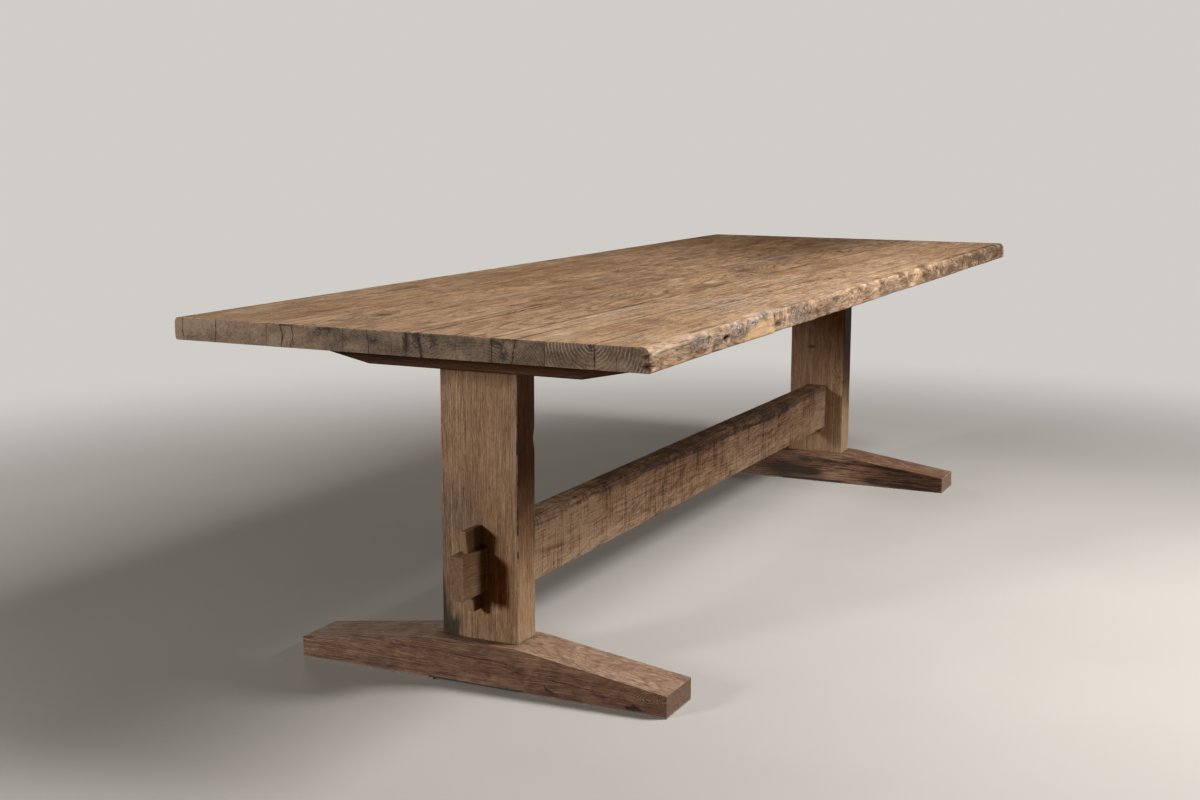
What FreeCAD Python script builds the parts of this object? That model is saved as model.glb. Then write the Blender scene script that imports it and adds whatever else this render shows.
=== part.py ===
import FreeCAD, Part
import math
import os
import re

import Sketcher

# Trestle dining table: six edge-jointed boards on two trestles, tied by one stretcher.
# Each trestle is a foot, a wide leg and a bearer. The stretcher's tenons go right through
# the legs and a tapered wedge through each tenon draws its shoulders up tight.
# +X runs along the table, the waney front edge faces -Y, +Z is up, and the origin lies
# on the floor under the middle of the top.

DRIVING_SIZES = (
    # the top
    ("table_length", 2880, "length of the top"),
    ("table_height", 770, "floor to the face of the top"),
    ("top_thickness", 46, "thickness of the boards"),
    ("back_board_width", 223, "board at the straight back edge"),
    ("second_board_width", 175, "next board towards the front"),
    ("third_board_width", 139, "next board towards the front"),
    ("fourth_board_width", 180, "next board towards the front"),
    ("fifth_board_width", 106, "next board towards the front"),
    ("front_board_width", 207, "board with the waney edge"),
    ("end_arris", 3, "bevel of the sawn ends"),
    ("edge_arris", 9, "rounding of the long outer edges"),
    ("wane_depth", 8, "deepest hollow of the waney edge"),
    ("tongue_thickness", 10, "loose tongues between the boards"),
    ("tongue_width", 40, "loose tongues, across the joint"),
    ("tongue_edge_gap", 0.5, "glue room past each edge of a tongue"),
    ("tongue_end_gap", 2, "glue room past each end of a tongue"),
    ("groove_stop", 80, "groove end to board end"),
    # the trestles
    ("end_overhang", 299.5, "end of the top to the leg's outer face"),
    ("leg_width", 180, "leg, across the table"),
    ("leg_thickness", 75, "leg, along the table"),
    ("leg_arris", 3, "rounding of the leg's corners"),
    ("foot_length", 862, "foot, across the table"),
    ("foot_width", 126, "foot, along the table"),
    ("foot_height", 90, "foot, under the leg"),
    ("foot_end_height", 43.5, "foot, at its ends"),
    ("foot_flat_margin", 10, "level part of the foot outside the leg"),
    ("foot_crest_radius", 100, "bend from the level part to the slope"),
    ("foot_arris", 3, "rounding of the foot's edges"),
    ("pad_thickness", 4, "felt pads under the feet"),
    ("pad_inset", 1.5, "foot edge to pad edge"),
    ("pad_spacing", 202, "gap between the two pads of a foot"),
    ("bearer_length", 840, "bearer, across the table"),
    ("bearer_width", 126, "bearer, along the table"),
    ("bearer_height", 66, "bearer, over the leg"),
    ("bearer_end_height", 30, "bearer, at its ends"),
    ("bearer_flat_length", 490, "level part of the bearer's underside"),
    ("bearer_arris", 3, "rounding of the bearer's edges"),
    ("leg_tenon_thickness", 26, "tenons at both ends of the leg"),
    ("leg_tenon_width", 120, "tenons at both ends of the leg"),
    ("foot_tenon_length", 55, "leg tenon inside the foot"),
    ("bearer_tenon_length", 45, "leg tenon inside the bearer"),
    ("tenon_end_gap", 3, "mortise floor to tenon end"),
    # the stretcher and its wedges
    ("stretcher_height", 140, "stretcher, upright"),
    ("stretcher_thickness", 62, "stretcher, across the table"),
    ("stretcher_arris", 3, "rounding of the stretcher's edges"),
    ("stretcher_level", 246.5, "floor to the middle of the stretcher"),
    ("through_tenon_height", 92, "tenon through the leg"),
    ("through_tenon_thickness", 35, "tenon through the leg"),
    ("through_tenon_projection", 97, "leg face to tenon end"),
    ("through_tenon_gap", 0.3, "tenon to mortise, all round"),
    ("through_tenon_chamfer", 3, "bevel round the tenon's end"),
    ("wedge_length", 175, "wedge, upright"),
    ("wedge_thickness", 12, "wedge, across the table"),
    ("wedge_top_depth", 67, "wedge top, out from the leg"),
    ("wedge_bottom_depth", 34.5, "wedge toe, out from the leg"),
    ("wedge_rise", 46, "tenon top to wedge top when driven home"),
    ("wedge_arris", 1.5, "rounding of the wedge's edges"),
    ("wedge_side_gap", 0.3, "wedge to slot, each side"),
    ("wedge_face_gap", 0.1, "wedge to leg face, and to the slot's sloping wall"),
    ("slot_relief", 4, "slot starts this far inside the leg face"),
    # coach screws from the bearers up into the boards
    ("screw_diameter", 10, "shank"),
    ("screw_length", 60, "under the head"),
    ("screw_point_length", 9, "tapered point"),
    ("screw_head_width", 17, "hexagon, across flats"),
    ("screw_head_height", 7, "hexagon"),
    ("screw_edge_distance", 50, "board joint to screw"),
    ("screw_grip", 30, "bearer wood between washer and top"),
    ("washer_diameter", 24, "outer"),
    ("washer_bore", 11, "inner"),
    ("washer_thickness", 2, "flat washer"),
    ("counterbore_diameter", 30, "room for a socket spanner"),
    ("screw_slot_width", 11, "hole through the bearer"),
    ("screw_slot_travel", 8, "lets the boards move across the table"),
    ("pilot_gap", 0.2, "screw to pilot hole, radial"),
    ("pilot_end_room", 4, "screw point to hole floor"),
)

# The waney edge in plan: how far it lies behind the straight edge, as a share of its
# deepest hollow, at equal steps from the left end to the right end.
WANE = (0.3, 0.9, 0.35, 0.05, 0.75, 0.4, 1.0, 0.45, 0.2, 0.8, 0.15, 0.6)

BOARDS = ("back", "second", "third", "fourth", "fifth", "front")
SIDES = (("left", 0), ("right", 180))
UP = FreeCAD.Vector(0, 0, 1)

# Heights above the floor and other places that several pieces share, as formulas.
TOP_UNDERSIDE = "(table_height - top_thickness)"
BEARER_UNDERSIDE = f"({TOP_UNDERSIDE} - bearer_height)"
FOOT_TOP = "(pad_thickness + foot_height)"
HALF_LEG = "(leg_thickness / 2)"
TRESTLE_X = f"(table_length / 2 - end_overhang - {HALF_LEG})"
TENON_TOP = "(stretcher_level + through_tenon_height / 2)"
WEDGE_TOP = f"({TENON_TOP} + wedge_rise)"
WEDGE_TAPER = "((wedge_top_depth - wedge_bottom_depth) / wedge_length)"
WASHER_SEAT = f"({TOP_UNDERSIDE} - screw_grip)"
SCREW_DEPTH = "(screw_length - washer_thickness - screw_grip)"
GROOVE_DEPTH = "(tongue_width / 2 + tongue_edge_gap)"
TOP_WIDTH = "(" + " + ".join(f"{name}_board_width" for name in BOARDS) + ")"

doc = FreeCAD.newDocument("TrestleTable")
sheet = doc.addObject("Spreadsheet::Sheet", "Dims")
for row, (alias, value, note) in enumerate(DRIVING_SIZES, start=1):
    sheet.set(f"A{row}", note)
    sheet.set(f"B{row}", str(value))
    sheet.setAlias(f"B{row}", alias)
doc.recompute()

ALIASES = {alias for alias, _value, _note in DRIVING_SIZES}
parts = []


def bound(formula):
    """The formula with each size's name pointing at its cell in the sheet."""
    def cell(match):
        word = match.group(0)
        return f"Dims.{word}" if word in ALIASES else word

    return re.sub(r"[a-z_]+", cell, str(formula))


def size(formula):
    """The formula's value in millimetres."""
    return float(sheet.evalExpression(bound(formula)))


# ---------------------------------------------------------------- sketch and feature tools


def new_body(label):
    body = doc.addObject("PartDesign::Body", label)
    body.Label = label
    parts.append(body)
    return body


def place(item, x="0", y="0", z="0", turn=0):
    """Turns the item about the vertical and ties where it stands to formulas."""
    item.Placement = FreeCAD.Placement(FreeCAD.Vector(), FreeCAD.Rotation(UP, turn))
    for axis, formula in (("x", x), ("y", y), ("z", z)):
        item.setExpression(f"Placement.Base.{axis}", bound(formula))


def mirrored_place(item, turn):
    """Stands a trestle's piece at its end of the table. Its own +X points to the middle."""
    place(item, x=f"{-math.cos(math.radians(turn)):.0f} * {TRESTLE_X}", turn=turn)


def new_sketch(body, role, name, offset="0"):
    """A sketch on one of the body's own planes, moved along the plane's normal."""
    sketch = body.newObject("Sketcher::SketchObject", name)
    plane = next(f for f in body.Origin.OriginFeatures if f.Role == role)
    sketch.AttachmentSupport = (plane, [""])
    sketch.MapMode = "FlatFace"
    sketch.setExpression("AttachmentOffset.Base.z", bound(offset))
    return sketch


def tie(sketch, kind, *where, to):
    """Adds a constraint whose value follows a formula."""
    index = sketch.addConstraint(Sketcher.Constraint(kind, *where, size(to)))
    sketch.setExpression(f"Constraints[{index}]", bound(to))


def tie_point(sketch, curve, point, x, y):
    tie(sketch, "DistanceX", -1, 1, curve, point, to=x)
    tie(sketch, "DistanceY", -1, 1, curve, point, to=y)


def draw_outline(sketch, corners):
    """A closed outline of straight lines; each corner is a pair of formulas."""
    points = [FreeCAD.Vector(size(x), size(y), 0) for x, y in corners]
    count = len(points)
    for i in range(count):
        sketch.addGeometry(Part.LineSegment(points[i], points[(i + 1) % count]), False)
    for i in range(count):
        sketch.addConstraint(Sketcher.Constraint("Coincident", i, 2, (i + 1) % count, 1))
    for i, (x, y) in enumerate(corners):
        tie_point(sketch, i, 1, x, y)


def draw_rectangle(sketch, width, height, x="0", y="0"):
    """A rectangle about the point (x, y)."""
    left, right = f"{x} - {width} / 2", f"{x} + {width} / 2"
    low, high = f"{y} - {height} / 2", f"{y} + {height} / 2"
    draw_outline(sketch, ((left, low), (right, low), (right, high), (left, high)))


def draw_circle(sketch, x, y, radius):
    centre = FreeCAD.Vector(size(x), size(y), 0)
    curve = sketch.addGeometry(Part.Circle(centre, UP, size(radius)), False)
    tie_point(sketch, curve, 3, x, y)
    tie(sketch, "Radius", curve, to=radius)


def draw_slot(sketch, x, y, radius, travel):
    """A round-ended slot that runs in the sketch's Y direction."""
    cx, r = size(x), size(radius)
    low, high = f"{y} - {travel} / 2", f"{y} + {travel} / 2"
    y0, y1 = size(low), size(high)
    first = sketch.GeometryCount
    lower = Part.Circle(FreeCAD.Vector(cx, y0, 0), UP, r)
    upper = Part.Circle(FreeCAD.Vector(cx, y1, 0), UP, r)
    sketch.addGeometry(Part.ArcOfCircle(lower, math.pi, 2 * math.pi), False)
    sketch.addGeometry(
        Part.LineSegment(FreeCAD.Vector(cx + r, y0, 0), FreeCAD.Vector(cx + r, y1, 0)), False)
    sketch.addGeometry(Part.ArcOfCircle(upper, 0, math.pi), False)
    sketch.addGeometry(
        Part.LineSegment(FreeCAD.Vector(cx - r, y1, 0), FreeCAD.Vector(cx - r, y0, 0)), False)
    for i in range(4):
        sketch.addConstraint(
            Sketcher.Constraint("Tangent", first + i, 2, first + (i + 1) % 4, 1))
    sketch.addConstraint(Sketcher.Constraint("Equal", first, first + 2))
    tie(sketch, "Radius", first, to=radius)
    tie_point(sketch, first, 3, x, low)
    tie_point(sketch, first + 2, 3, x, high)


def pad(body, sketch, length, symmetric=False):
    feature = body.newObject("PartDesign::Pad", f"{sketch.Name}_pad")
    feature.Profile = sketch
    feature.setExpression("Length", bound(length))
    if symmetric:
        feature.SideType = "Symmetric"
    doc.recompute()
    return feature


def cut(body, sketch, length=None, symmetric=False, along_normal=False):
    """A pocket, right through where no length is given. It has to take wood away."""
    before = body.Shape.Volume
    feature = body.newObject("PartDesign::Pocket", f"{sketch.Name}_cut")
    feature.Profile = sketch
    if length is None:
        feature.Type = "ThroughAll"
    else:
        feature.setExpression("Length", bound(length))
    if symmetric:
        feature.SideType = "Symmetric"
    feature.Reversed = along_normal
    doc.recompute()
    if not body.Shape.Volume < before - 1:
        raise RuntimeError(f"{feature.Name} cuts nothing")
    return feature


def edges_of(feature, wanted):
    """Names of the feature's edges that a test of their bounding box accepts."""
    found = enumerate(feature.Shape.Edges, start=1)
    return [f"Edge{i}" for i, edge in found if wanted(edge.BoundBox)]


def ease(body, feature, edges, radius, name, kind="Fillet"):
    """Rounds or bevels edges."""
    made = body.newObject(f"PartDesign::{kind}", name)
    made.Base = (feature, edges)
    made.setExpression("Radius" if kind == "Fillet" else "Size", bound(radius))
    doc.recompute()
    return made


def near(value, target):
    return abs(value - target) < 0.01


# ---------------------------------------------------------------- the top


def joint_line(index):
    """Where the joint in front of board number index lies, as a formula."""
    passed = " - ".join(f"{name}_board_width" for name in BOARDS[:index + 1])
    return f"({TOP_WIDTH} / 2 - {passed})"


def screw_line(name):
    """A board's screw stands a set distance in from its joint nearer the middle."""
    index = BOARDS.index(name)
    if name == "front":
        return f"({joint_line(index - 1)} - screw_edge_distance)"
    return f"({joint_line(index)} + screw_edge_distance)"


SCREWED_BOARDS = ("back", "second", "fourth", "front")
SCREW_LINES = tuple(screw_line(name) for name in SCREWED_BOARDS)


def waney_plan(body, width):
    """Plan of the front board: straight joint and ends, and a spline for the waney edge."""
    sketch = new_sketch(body, "XY_Plane", "front_plan")
    steps = len(WANE) - 1
    places = [
        (f"table_length * ({i} / {steps} - 0.5)", f"{share} * wane_depth - {width}")
        for i, share in enumerate(WANE)
    ]
    corners = [places[0], ("-table_length / 2", "0"), ("table_length / 2", "0"), places[-1]]
    points = [FreeCAD.Vector(size(x), size(y), 0) for x, y in corners]
    for start, end in zip(points, points[1:]):
        sketch.addGeometry(Part.LineSegment(start, end), False)
    for i in range(2):
        sketch.addConstraint(Sketcher.Constraint("Coincident", i, 2, i + 1, 1))
    for i, (x, y) in enumerate(corners[:3]):
        tie_point(sketch, i, 1, x, y)
    tie_point(sketch, 2, 2, *corners[3])
    edge = Part.BSplineCurve()
    edge.interpolate([FreeCAD.Vector(size(x), size(y), 0) for x, y in places])
    curve = sketch.addGeometry(edge, False)
    sketch.addConstraint(Sketcher.Constraint("Block", curve))
    return sketch


def make_board(index):
    name = BOARDS[index]
    width = f"{name}_board_width"
    body = new_body(f"top_board_{name}")
    if name == "front":
        outline = waney_plan(body, width)
    else:
        outline = new_sketch(body, "XY_Plane", f"{name}_plan")
        draw_rectangle(outline, "table_length", width, y=f"-{width} / 2")
    board = pad(body, outline, "top_thickness")

    # a stopped groove for a loose tongue in each jointed edge
    grooved = []
    if index > 0:
        grooved.append(("back_groove", "0", True))
    if index < len(BOARDS) - 1:
        grooved.append(("front_groove", width, False))
    for groove, offset, along_normal in grooved:
        sketch = new_sketch(body, "XZ_Plane", f"{name}_{groove}", offset)
        draw_rectangle(sketch, "(table_length - 2 * groove_stop)", "tongue_thickness",
                       y="top_thickness / 2")
        board = cut(body, sketch, GROOVE_DEPTH, along_normal=along_normal)

    # blind pilot holes over both bearers
    back_edge = f"{TOP_WIDTH} / 2" if index == 0 else joint_line(index - 1)
    if name in SCREWED_BOARDS:
        sketch = new_sketch(body, "XY_Plane", f"{name}_pilots")
        for x in (f"-{TRESTLE_X}", TRESTLE_X):
            draw_circle(sketch, x, f"{screw_line(name)} - {back_edge}", "screw_diameter / 2 + pilot_gap")
        board = cut(body, sketch, f"{SCREW_DEPTH} + pilot_end_room", along_normal=True)

    thickness, half_length = size("top_thickness"), size("table_length / 2")

    def end_arris(box):
        at_end = near(box.XMin, box.XMax) and near(abs(box.XMin), half_length)
        return at_end and box.YLength > size(width) / 2

    def outer_edge(box):
        outside = box.YMax if name == "back" else size(width) + box.YMin
        return (box.XLength > half_length and near(box.ZMin, thickness)
                and abs(outside) < size("wane_depth") + 1)

    ends = edges_of(board, end_arris)
    board = ease(body, board, ends, "end_arris", f"{name}_ends", kind="Chamfer")
    if name in ("back", "front"):
        ease(body, board, edges_of(board, outer_edge), "edge_arris", f"{name}_edge")
    place(body, y=back_edge, z=TOP_UNDERSIDE)


def make_tongue(index):
    body = new_body(f"board_tongue_{index + 1}")
    sketch = new_sketch(body, "XY_Plane", f"tongue_plan_{index + 1}")
    draw_rectangle(sketch, "(table_length - 2 * groove_stop - 2 * tongue_end_gap)", "tongue_width")
    pad(body, sketch, "tongue_thickness", symmetric=True)
    place(body, y=joint_line(index), z=f"{TOP_UNDERSIDE} + top_thickness / 2")


# ---------------------------------------------------------------- the trestles


def make_leg(side, turn):
    body = new_body(f"leg_{side}")
    post = new_sketch(body, "XY_Plane", f"leg_section_{side}", FOOT_TOP)
    draw_rectangle(post, "leg_thickness", "leg_width")
    leg = pad(body, post, f"{BEARER_UNDERSIDE} - {FOOT_TOP}")
    low, high = size(FOOT_TOP), size(BEARER_UNDERSIDE)
    corners = edges_of(leg, lambda box: box.ZLength > (high - low) / 2)
    leg = ease(body, leg, corners, "leg_arris", f"leg_corners_{side}")

    # stub tenons into the foot and the bearer
    for end, start, length in (
        ("foot", f"{FOOT_TOP} - foot_tenon_length", "foot_tenon_length"),
        ("bearer", BEARER_UNDERSIDE, "bearer_tenon_length"),
    ):
        sketch = new_sketch(body, "XY_Plane", f"{end}_tenon_{side}", start)
        draw_rectangle(sketch, "leg_tenon_thickness", "leg_tenon_width")
        pad(body, sketch, length)

    # mortise for the stretcher's through tenon
    mortise = new_sketch(body, "YZ_Plane", f"leg_mortise_{side}")
    draw_rectangle(mortise, "(through_tenon_thickness + 2 * through_tenon_gap)",
                   "(through_tenon_height + 2 * through_tenon_gap)", y="stretcher_level")
    cut(body, mortise, "2 * leg_thickness", symmetric=True)
    mirrored_place(body, turn)


def sloped_profile(sketch, length, flat, level, edge, end):
    """A beam's side view: level at the edge given, and tapering on the other to its ends."""
    half, half_flat = f"{length} / 2", f"{flat} / 2"
    draw_outline(sketch, (
        (f"-{half}", level), (half, level), (half, end),
        (half_flat, edge), (f"-{half_flat}", edge), (f"-{half}", end),
    ))


def make_foot(side, turn):
    body = new_body(f"foot_{side}")
    profile = new_sketch(body, "YZ_Plane", f"foot_profile_{side}")
    sloped_profile(profile, "foot_length", "(leg_width + 2 * foot_flat_margin)",
                   "pad_thickness", FOOT_TOP, "pad_thickness + foot_end_height")
    foot = pad(body, profile, "foot_width", symmetric=True)
    top = size(FOOT_TOP)
    crests = edges_of(foot, lambda b: near(b.ZMin, top) and near(b.ZMax, top) and b.YLength < 1)
    foot = ease(body, foot, crests, "foot_crest_radius", f"foot_crests_{side}")
    floor = size("pad_thickness")
    outline = edges_of(foot, lambda b: b.XLength < 1 and b.ZMax > floor + 1)
    ends = edges_of(foot, lambda b: b.XLength > 1 and near(abs(b.YMin), size("foot_length / 2"))
                    and b.ZMax > floor + 1)
    foot = ease(body, foot, outline + ends, "foot_arris", f"foot_edges_{side}", kind="Chamfer")
    mortise = new_sketch(body, "XY_Plane", f"foot_mortise_{side}", FOOT_TOP)
    draw_rectangle(mortise, "leg_tenon_thickness", "leg_tenon_width")
    cut(body, mortise, "foot_tenon_length + tenon_end_gap")
    mirrored_place(body, turn)

    for end, way in (("back", "1"), ("front", "-1")):
        strip = new_body(f"felt_{side}_{end}")
        length = "((foot_length - pad_spacing) / 2 - pad_inset)"
        sketch = new_sketch(strip, "XY_Plane", f"felt_plan_{side}_{end}")
        draw_rectangle(sketch, "(foot_width - 2 * pad_inset)", length,
                       y=f"{way} * (pad_spacing + {length}) / 2")
        pad(strip, sketch, "pad_thickness")
        place(strip, x=f"{-math.cos(math.radians(turn)):.0f} * {TRESTLE_X}")


def make_bearer(side, turn):
    body = new_body(f"bearer_{side}")
    profile = new_sketch(body, "YZ_Plane", f"bearer_profile_{side}")
    sloped_profile(profile, "bearer_length", "bearer_flat_length",
                   TOP_UNDERSIDE, BEARER_UNDERSIDE, f"{TOP_UNDERSIDE} - bearer_end_height")
    bearer = pad(body, profile, "bearer_width", symmetric=True)
    top = size(TOP_UNDERSIDE)
    outline = edges_of(bearer, lambda b: b.XLength < 1 and b.ZMin < top - 1)
    bearer = ease(body, bearer, outline, "bearer_arris", f"bearer_edges_{side}", kind="Chamfer")

    mortise = new_sketch(body, "XY_Plane", f"bearer_mortise_{side}", BEARER_UNDERSIDE)
    draw_rectangle(mortise, "leg_tenon_thickness", "leg_tenon_width")
    cut(body, mortise, "bearer_tenon_length + tenon_end_gap", along_normal=True)

    # slotted screw holes, counterbored from below; the right bearer is turned end for end
    way = "-1" if turn else "1"
    sockets = new_sketch(body, "XY_Plane", f"counterbores_{side}", WASHER_SEAT)
    slots = new_sketch(body, "XY_Plane", f"screw_slots_{side}", TOP_UNDERSIDE)
    for line in SCREW_LINES:
        draw_slot(sockets, "0", f"{way} * {line}", "counterbore_diameter / 2", "screw_slot_travel")
        draw_slot(slots, "0", f"{way} * {line}", "screw_slot_width / 2", "screw_slot_travel")
    cut(body, sockets)
    cut(body, slots)
    mirrored_place(body, turn)


# ---------------------------------------------------------------- stretcher and wedges


def make_stretcher():
    """The long rail, with a shouldered through tenon and a wedge slot at each end."""
    body = new_body("stretcher")
    shoulder = f"({TRESTLE_X} - {HALF_LEG})"
    leg_face = f"({TRESTLE_X} + {HALF_LEG})"
    section = new_sketch(body, "YZ_Plane", "stretcher_section")
    draw_rectangle(section, "stretcher_thickness", "stretcher_height", y="stretcher_level")
    rail = pad(body, section, f"2 * {shoulder}", symmetric=True)
    long_edges = edges_of(rail, lambda b: b.XLength > size(shoulder))
    ease(body, rail, long_edges, "stretcher_arris", "stretcher_edges")

    tenons = new_sketch(body, "YZ_Plane", "through_tenons")
    draw_rectangle(tenons, "through_tenon_thickness", "through_tenon_height",
                   y="stretcher_level")
    tenon_end = f"({leg_face} + through_tenon_projection)"
    rail = pad(body, tenons, f"2 * {tenon_end}", symmetric=True)
    reach = size(tenon_end)
    end_edges = edges_of(rail, lambda b: near(abs(b.XMin), reach) and b.XLength < 1)
    ease(body, rail, end_edges, "through_tenon_chamfer", "tenon_bevels", kind="Chamfer")

    # the wall that the wedge bears on slopes with it
    for side, way in (("left", "-1"), ("right", "1")):
        slot = new_sketch(body, "XZ_Plane", f"wedge_slot_{side}")
        inner = f"{way} * ({leg_face} - slot_relief)"
        low, high = "(stretcher_level - stretcher_height)", "(stretcher_level + stretcher_height)"
        wall_low = wedge_wall(leg_face, low, "2 * wedge_face_gap")
        wall_high = wedge_wall(leg_face, high, "2 * wedge_face_gap")
        draw_outline(slot, ((inner, low), (f"{way} * {wall_low}", low),
                            (f"{way} * {wall_high}", high), (inner, high)))
        cut(body, slot, "wedge_thickness + 2 * wedge_side_gap", symmetric=True)


def wedge_wall(leg_face, height, clearance):
    """Distance from the table's middle to the wedge's sloping face at a height."""
    return (f"({leg_face} + wedge_top_depth + {clearance}"
            f" - ({WEDGE_TOP} - {height}) * {WEDGE_TAPER})")


def make_wedge(side, turn):
    """A tapered key: straight face against the leg, sloping face outwards."""
    body = new_body(f"wedge_{side}")
    face = f"(-{HALF_LEG} - wedge_face_gap)"
    toe = f"({WEDGE_TOP} - wedge_length)"
    sketch = new_sketch(body, "XZ_Plane", f"wedge_profile_{side}")
    draw_outline(sketch, (
        (face, toe), (face, WEDGE_TOP),
        (f"{face} - wedge_top_depth", WEDGE_TOP), (f"{face} - wedge_bottom_depth", toe),
    ))
    wedge = pad(body, sketch, "wedge_thickness", symmetric=True)
    outer = edges_of(wedge, lambda b: b.YLength > 1 or b.XLength > 1)
    ease(body, wedge, outer, "wedge_arris", f"wedge_edges_{side}", kind="Chamfer")
    mirrored_place(body, turn)


# ---------------------------------------------------------------- screws and washers


def coach_screw():
    """One screw with its head's underside at the origin, pointing up."""
    radius, flats = size("screw_diameter / 2"), size("screw_head_width")
    length, point = size("screw_length"), size("screw_point_length")
    height = size("screw_head_height")
    across_corners = flats / math.cos(math.radians(30)) / 2
    hexagon = [
        FreeCAD.Vector(across_corners * math.cos(math.radians(60 * k)),
                       across_corners * math.sin(math.radians(60 * k)), -height)
        for k in range(7)
    ]
    head = Part.Face(Part.makePolygon(hexagon)).extrude(FreeCAD.Vector(0, 0, height))
    shank = Part.makeCylinder(radius, length - point)
    tip = Part.makeCone(radius, radius / 4, point, FreeCAD.Vector(0, 0, length - point))
    return head.fuse([shank, tip]).removeSplitter()


def washer():
    """One flat washer standing on the origin."""
    disc = Part.makeCylinder(size("washer_diameter / 2"), size("washer_thickness"))
    return disc.cut(Part.makeCylinder(size("washer_bore / 2"), size("washer_thickness")))


def make_fixings(side, turn):
    """The four screws of a bearer are one part and their four washers another."""
    x = -math.cos(math.radians(turn)) * size(TRESTLE_X)
    seat = size(WASHER_SEAT)
    for label, shape, drop in (
        (f"coach_screws_{side}", coach_screw(), size("washer_thickness")),
        (f"washers_{side}", washer(), size("washer_thickness")),
    ):
        copies = []
        for line in SCREW_LINES:
            copy = shape.copy()
            copy.translate(FreeCAD.Vector(0, size(line), seat - drop))
            copies.append(copy)
        group = doc.addObject("Part::Feature", label)
        group.Label = label
        group.Shape = Part.makeCompound(copies)
        group.Placement = FreeCAD.Placement(FreeCAD.Vector(x, 0, 0), FreeCAD.Rotation())
        parts.append(group)


# ---------------------------------------------------------------- build, check, write

for number in range(len(BOARDS)):
    make_board(number)
for number in range(len(BOARDS) - 1):
    make_tongue(number)
make_stretcher()
for side_name, half_turn in SIDES:
    make_bearer(side_name, half_turn)
    make_leg(side_name, half_turn)
    make_foot(side_name, half_turn)
    make_wedge(side_name, half_turn)
    make_fixings(side_name, half_turn)

doc.recompute()
for item in doc.Objects:
    if {"Invalid", "Error"} & set(item.State):
        raise RuntimeError(f"{item.Name} failed: {item.State}")
for item in parts:
    if item.Shape.isNull() or not item.Shape.isValid():
        raise RuntimeError(f"{item.Label} has no valid shape")

os.makedirs("parts", exist_ok=True)
for item in parts:
    item.Shape.exportStep(f"parts/{item.Label}.step")
print(f"wrote {len(parts)} parts")
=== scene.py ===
"""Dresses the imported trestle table: weathered oak over the CAD frame, in metres."""

import math

import bpy
import numpy as np
from mathutils import Matrix, Vector


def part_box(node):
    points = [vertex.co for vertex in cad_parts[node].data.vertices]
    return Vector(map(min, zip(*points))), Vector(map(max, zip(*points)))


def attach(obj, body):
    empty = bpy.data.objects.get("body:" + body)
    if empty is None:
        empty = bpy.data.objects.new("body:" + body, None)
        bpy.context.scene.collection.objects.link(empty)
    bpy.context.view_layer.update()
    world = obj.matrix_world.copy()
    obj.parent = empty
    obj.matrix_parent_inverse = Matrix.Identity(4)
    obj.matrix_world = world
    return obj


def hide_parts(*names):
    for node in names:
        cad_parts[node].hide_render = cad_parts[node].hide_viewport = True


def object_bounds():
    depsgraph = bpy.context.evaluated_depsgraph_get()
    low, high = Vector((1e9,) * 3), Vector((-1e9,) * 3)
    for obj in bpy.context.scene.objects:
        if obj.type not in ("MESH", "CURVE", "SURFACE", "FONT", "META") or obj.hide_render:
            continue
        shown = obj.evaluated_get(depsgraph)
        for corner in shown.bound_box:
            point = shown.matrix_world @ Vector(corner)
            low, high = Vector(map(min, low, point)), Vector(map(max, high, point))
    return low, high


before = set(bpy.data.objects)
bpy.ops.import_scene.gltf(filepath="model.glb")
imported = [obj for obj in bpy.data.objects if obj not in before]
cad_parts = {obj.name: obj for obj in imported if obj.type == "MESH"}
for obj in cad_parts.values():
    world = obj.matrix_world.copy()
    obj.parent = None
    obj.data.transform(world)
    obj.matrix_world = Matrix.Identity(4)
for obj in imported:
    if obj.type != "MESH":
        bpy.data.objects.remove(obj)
CAD_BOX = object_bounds()

MM = 0.001
LEFT_END, FRONT = CAD_BOX[0].x, CAD_BOX[0].y
RIGHT_END, TOP = CAD_BOX[1].x, CAD_BOX[1].z
SIDES = ("left", "right")


# ---------------------------------------------------------------- noise and curves


def hashed(cell, seed):
    """A repeatable number from -1 to 1 for each whole-number place."""
    x, y, z = cell[..., 0], cell[..., 1], cell[..., 2]
    n = (x * 73856093 ^ y * 19349663 ^ z * 83492791 ^ seed * 265443576) & 0xFFFFFFFF
    n = (n ^ (n >> 15)) * 0x2C1B3C6D & 0xFFFFFFFF
    n = (n ^ (n >> 12)) * 0x297A2D39 & 0xFFFFFFFF
    n = n ^ (n >> 15)
    return n / 0x7FFFFFFF - 1


def noise(points, seed):
    """Smooth noise from -1 to 1 with one cell to a unit."""
    cell = np.floor(points).astype(np.int64)
    t = points - cell
    t = t * t * (3 - 2 * t)
    total = np.zeros(len(points))
    for corner in np.ndindex(2, 2, 2):
        weight = np.prod(np.where(corner, t, 1 - t), axis=1)
        total += weight * hashed(cell + corner, seed)
    return total


def layers(points, scale, octaves, seed):
    """Noise of several sizes; scale is cells per metre along each axis."""
    total = np.zeros(len(points))
    for k in range(octaves):
        total += noise(points * np.array(scale) * 2.0**k + 11.7 * k, seed + k) / 2.0**k
    return total / (2 - 2.0 ** (1 - octaves))


def smooth(value, low, high):
    """0 below low, 1 above high, eased in between. Low may be above high."""
    t = np.clip((value - low) / (high - low), 0, 1)
    return t * t * (3 - 2 * t)


def spot(x, y, place, size):
    """A soft round spot, 1 in its middle, on an oval of these half sizes."""
    return np.exp(-(((x - place[0]) / size[0]) ** 2) - ((y - place[1]) / size[1]) ** 2)


def rounding(near, radius):
    """How far a rounded arris falls back, as near goes from 0 to 1 at the arris."""
    return radius * (1 - np.sqrt(1 - near**2 * 0.999))


# ---------------------------------------------------------------- meshes from cells

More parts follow.
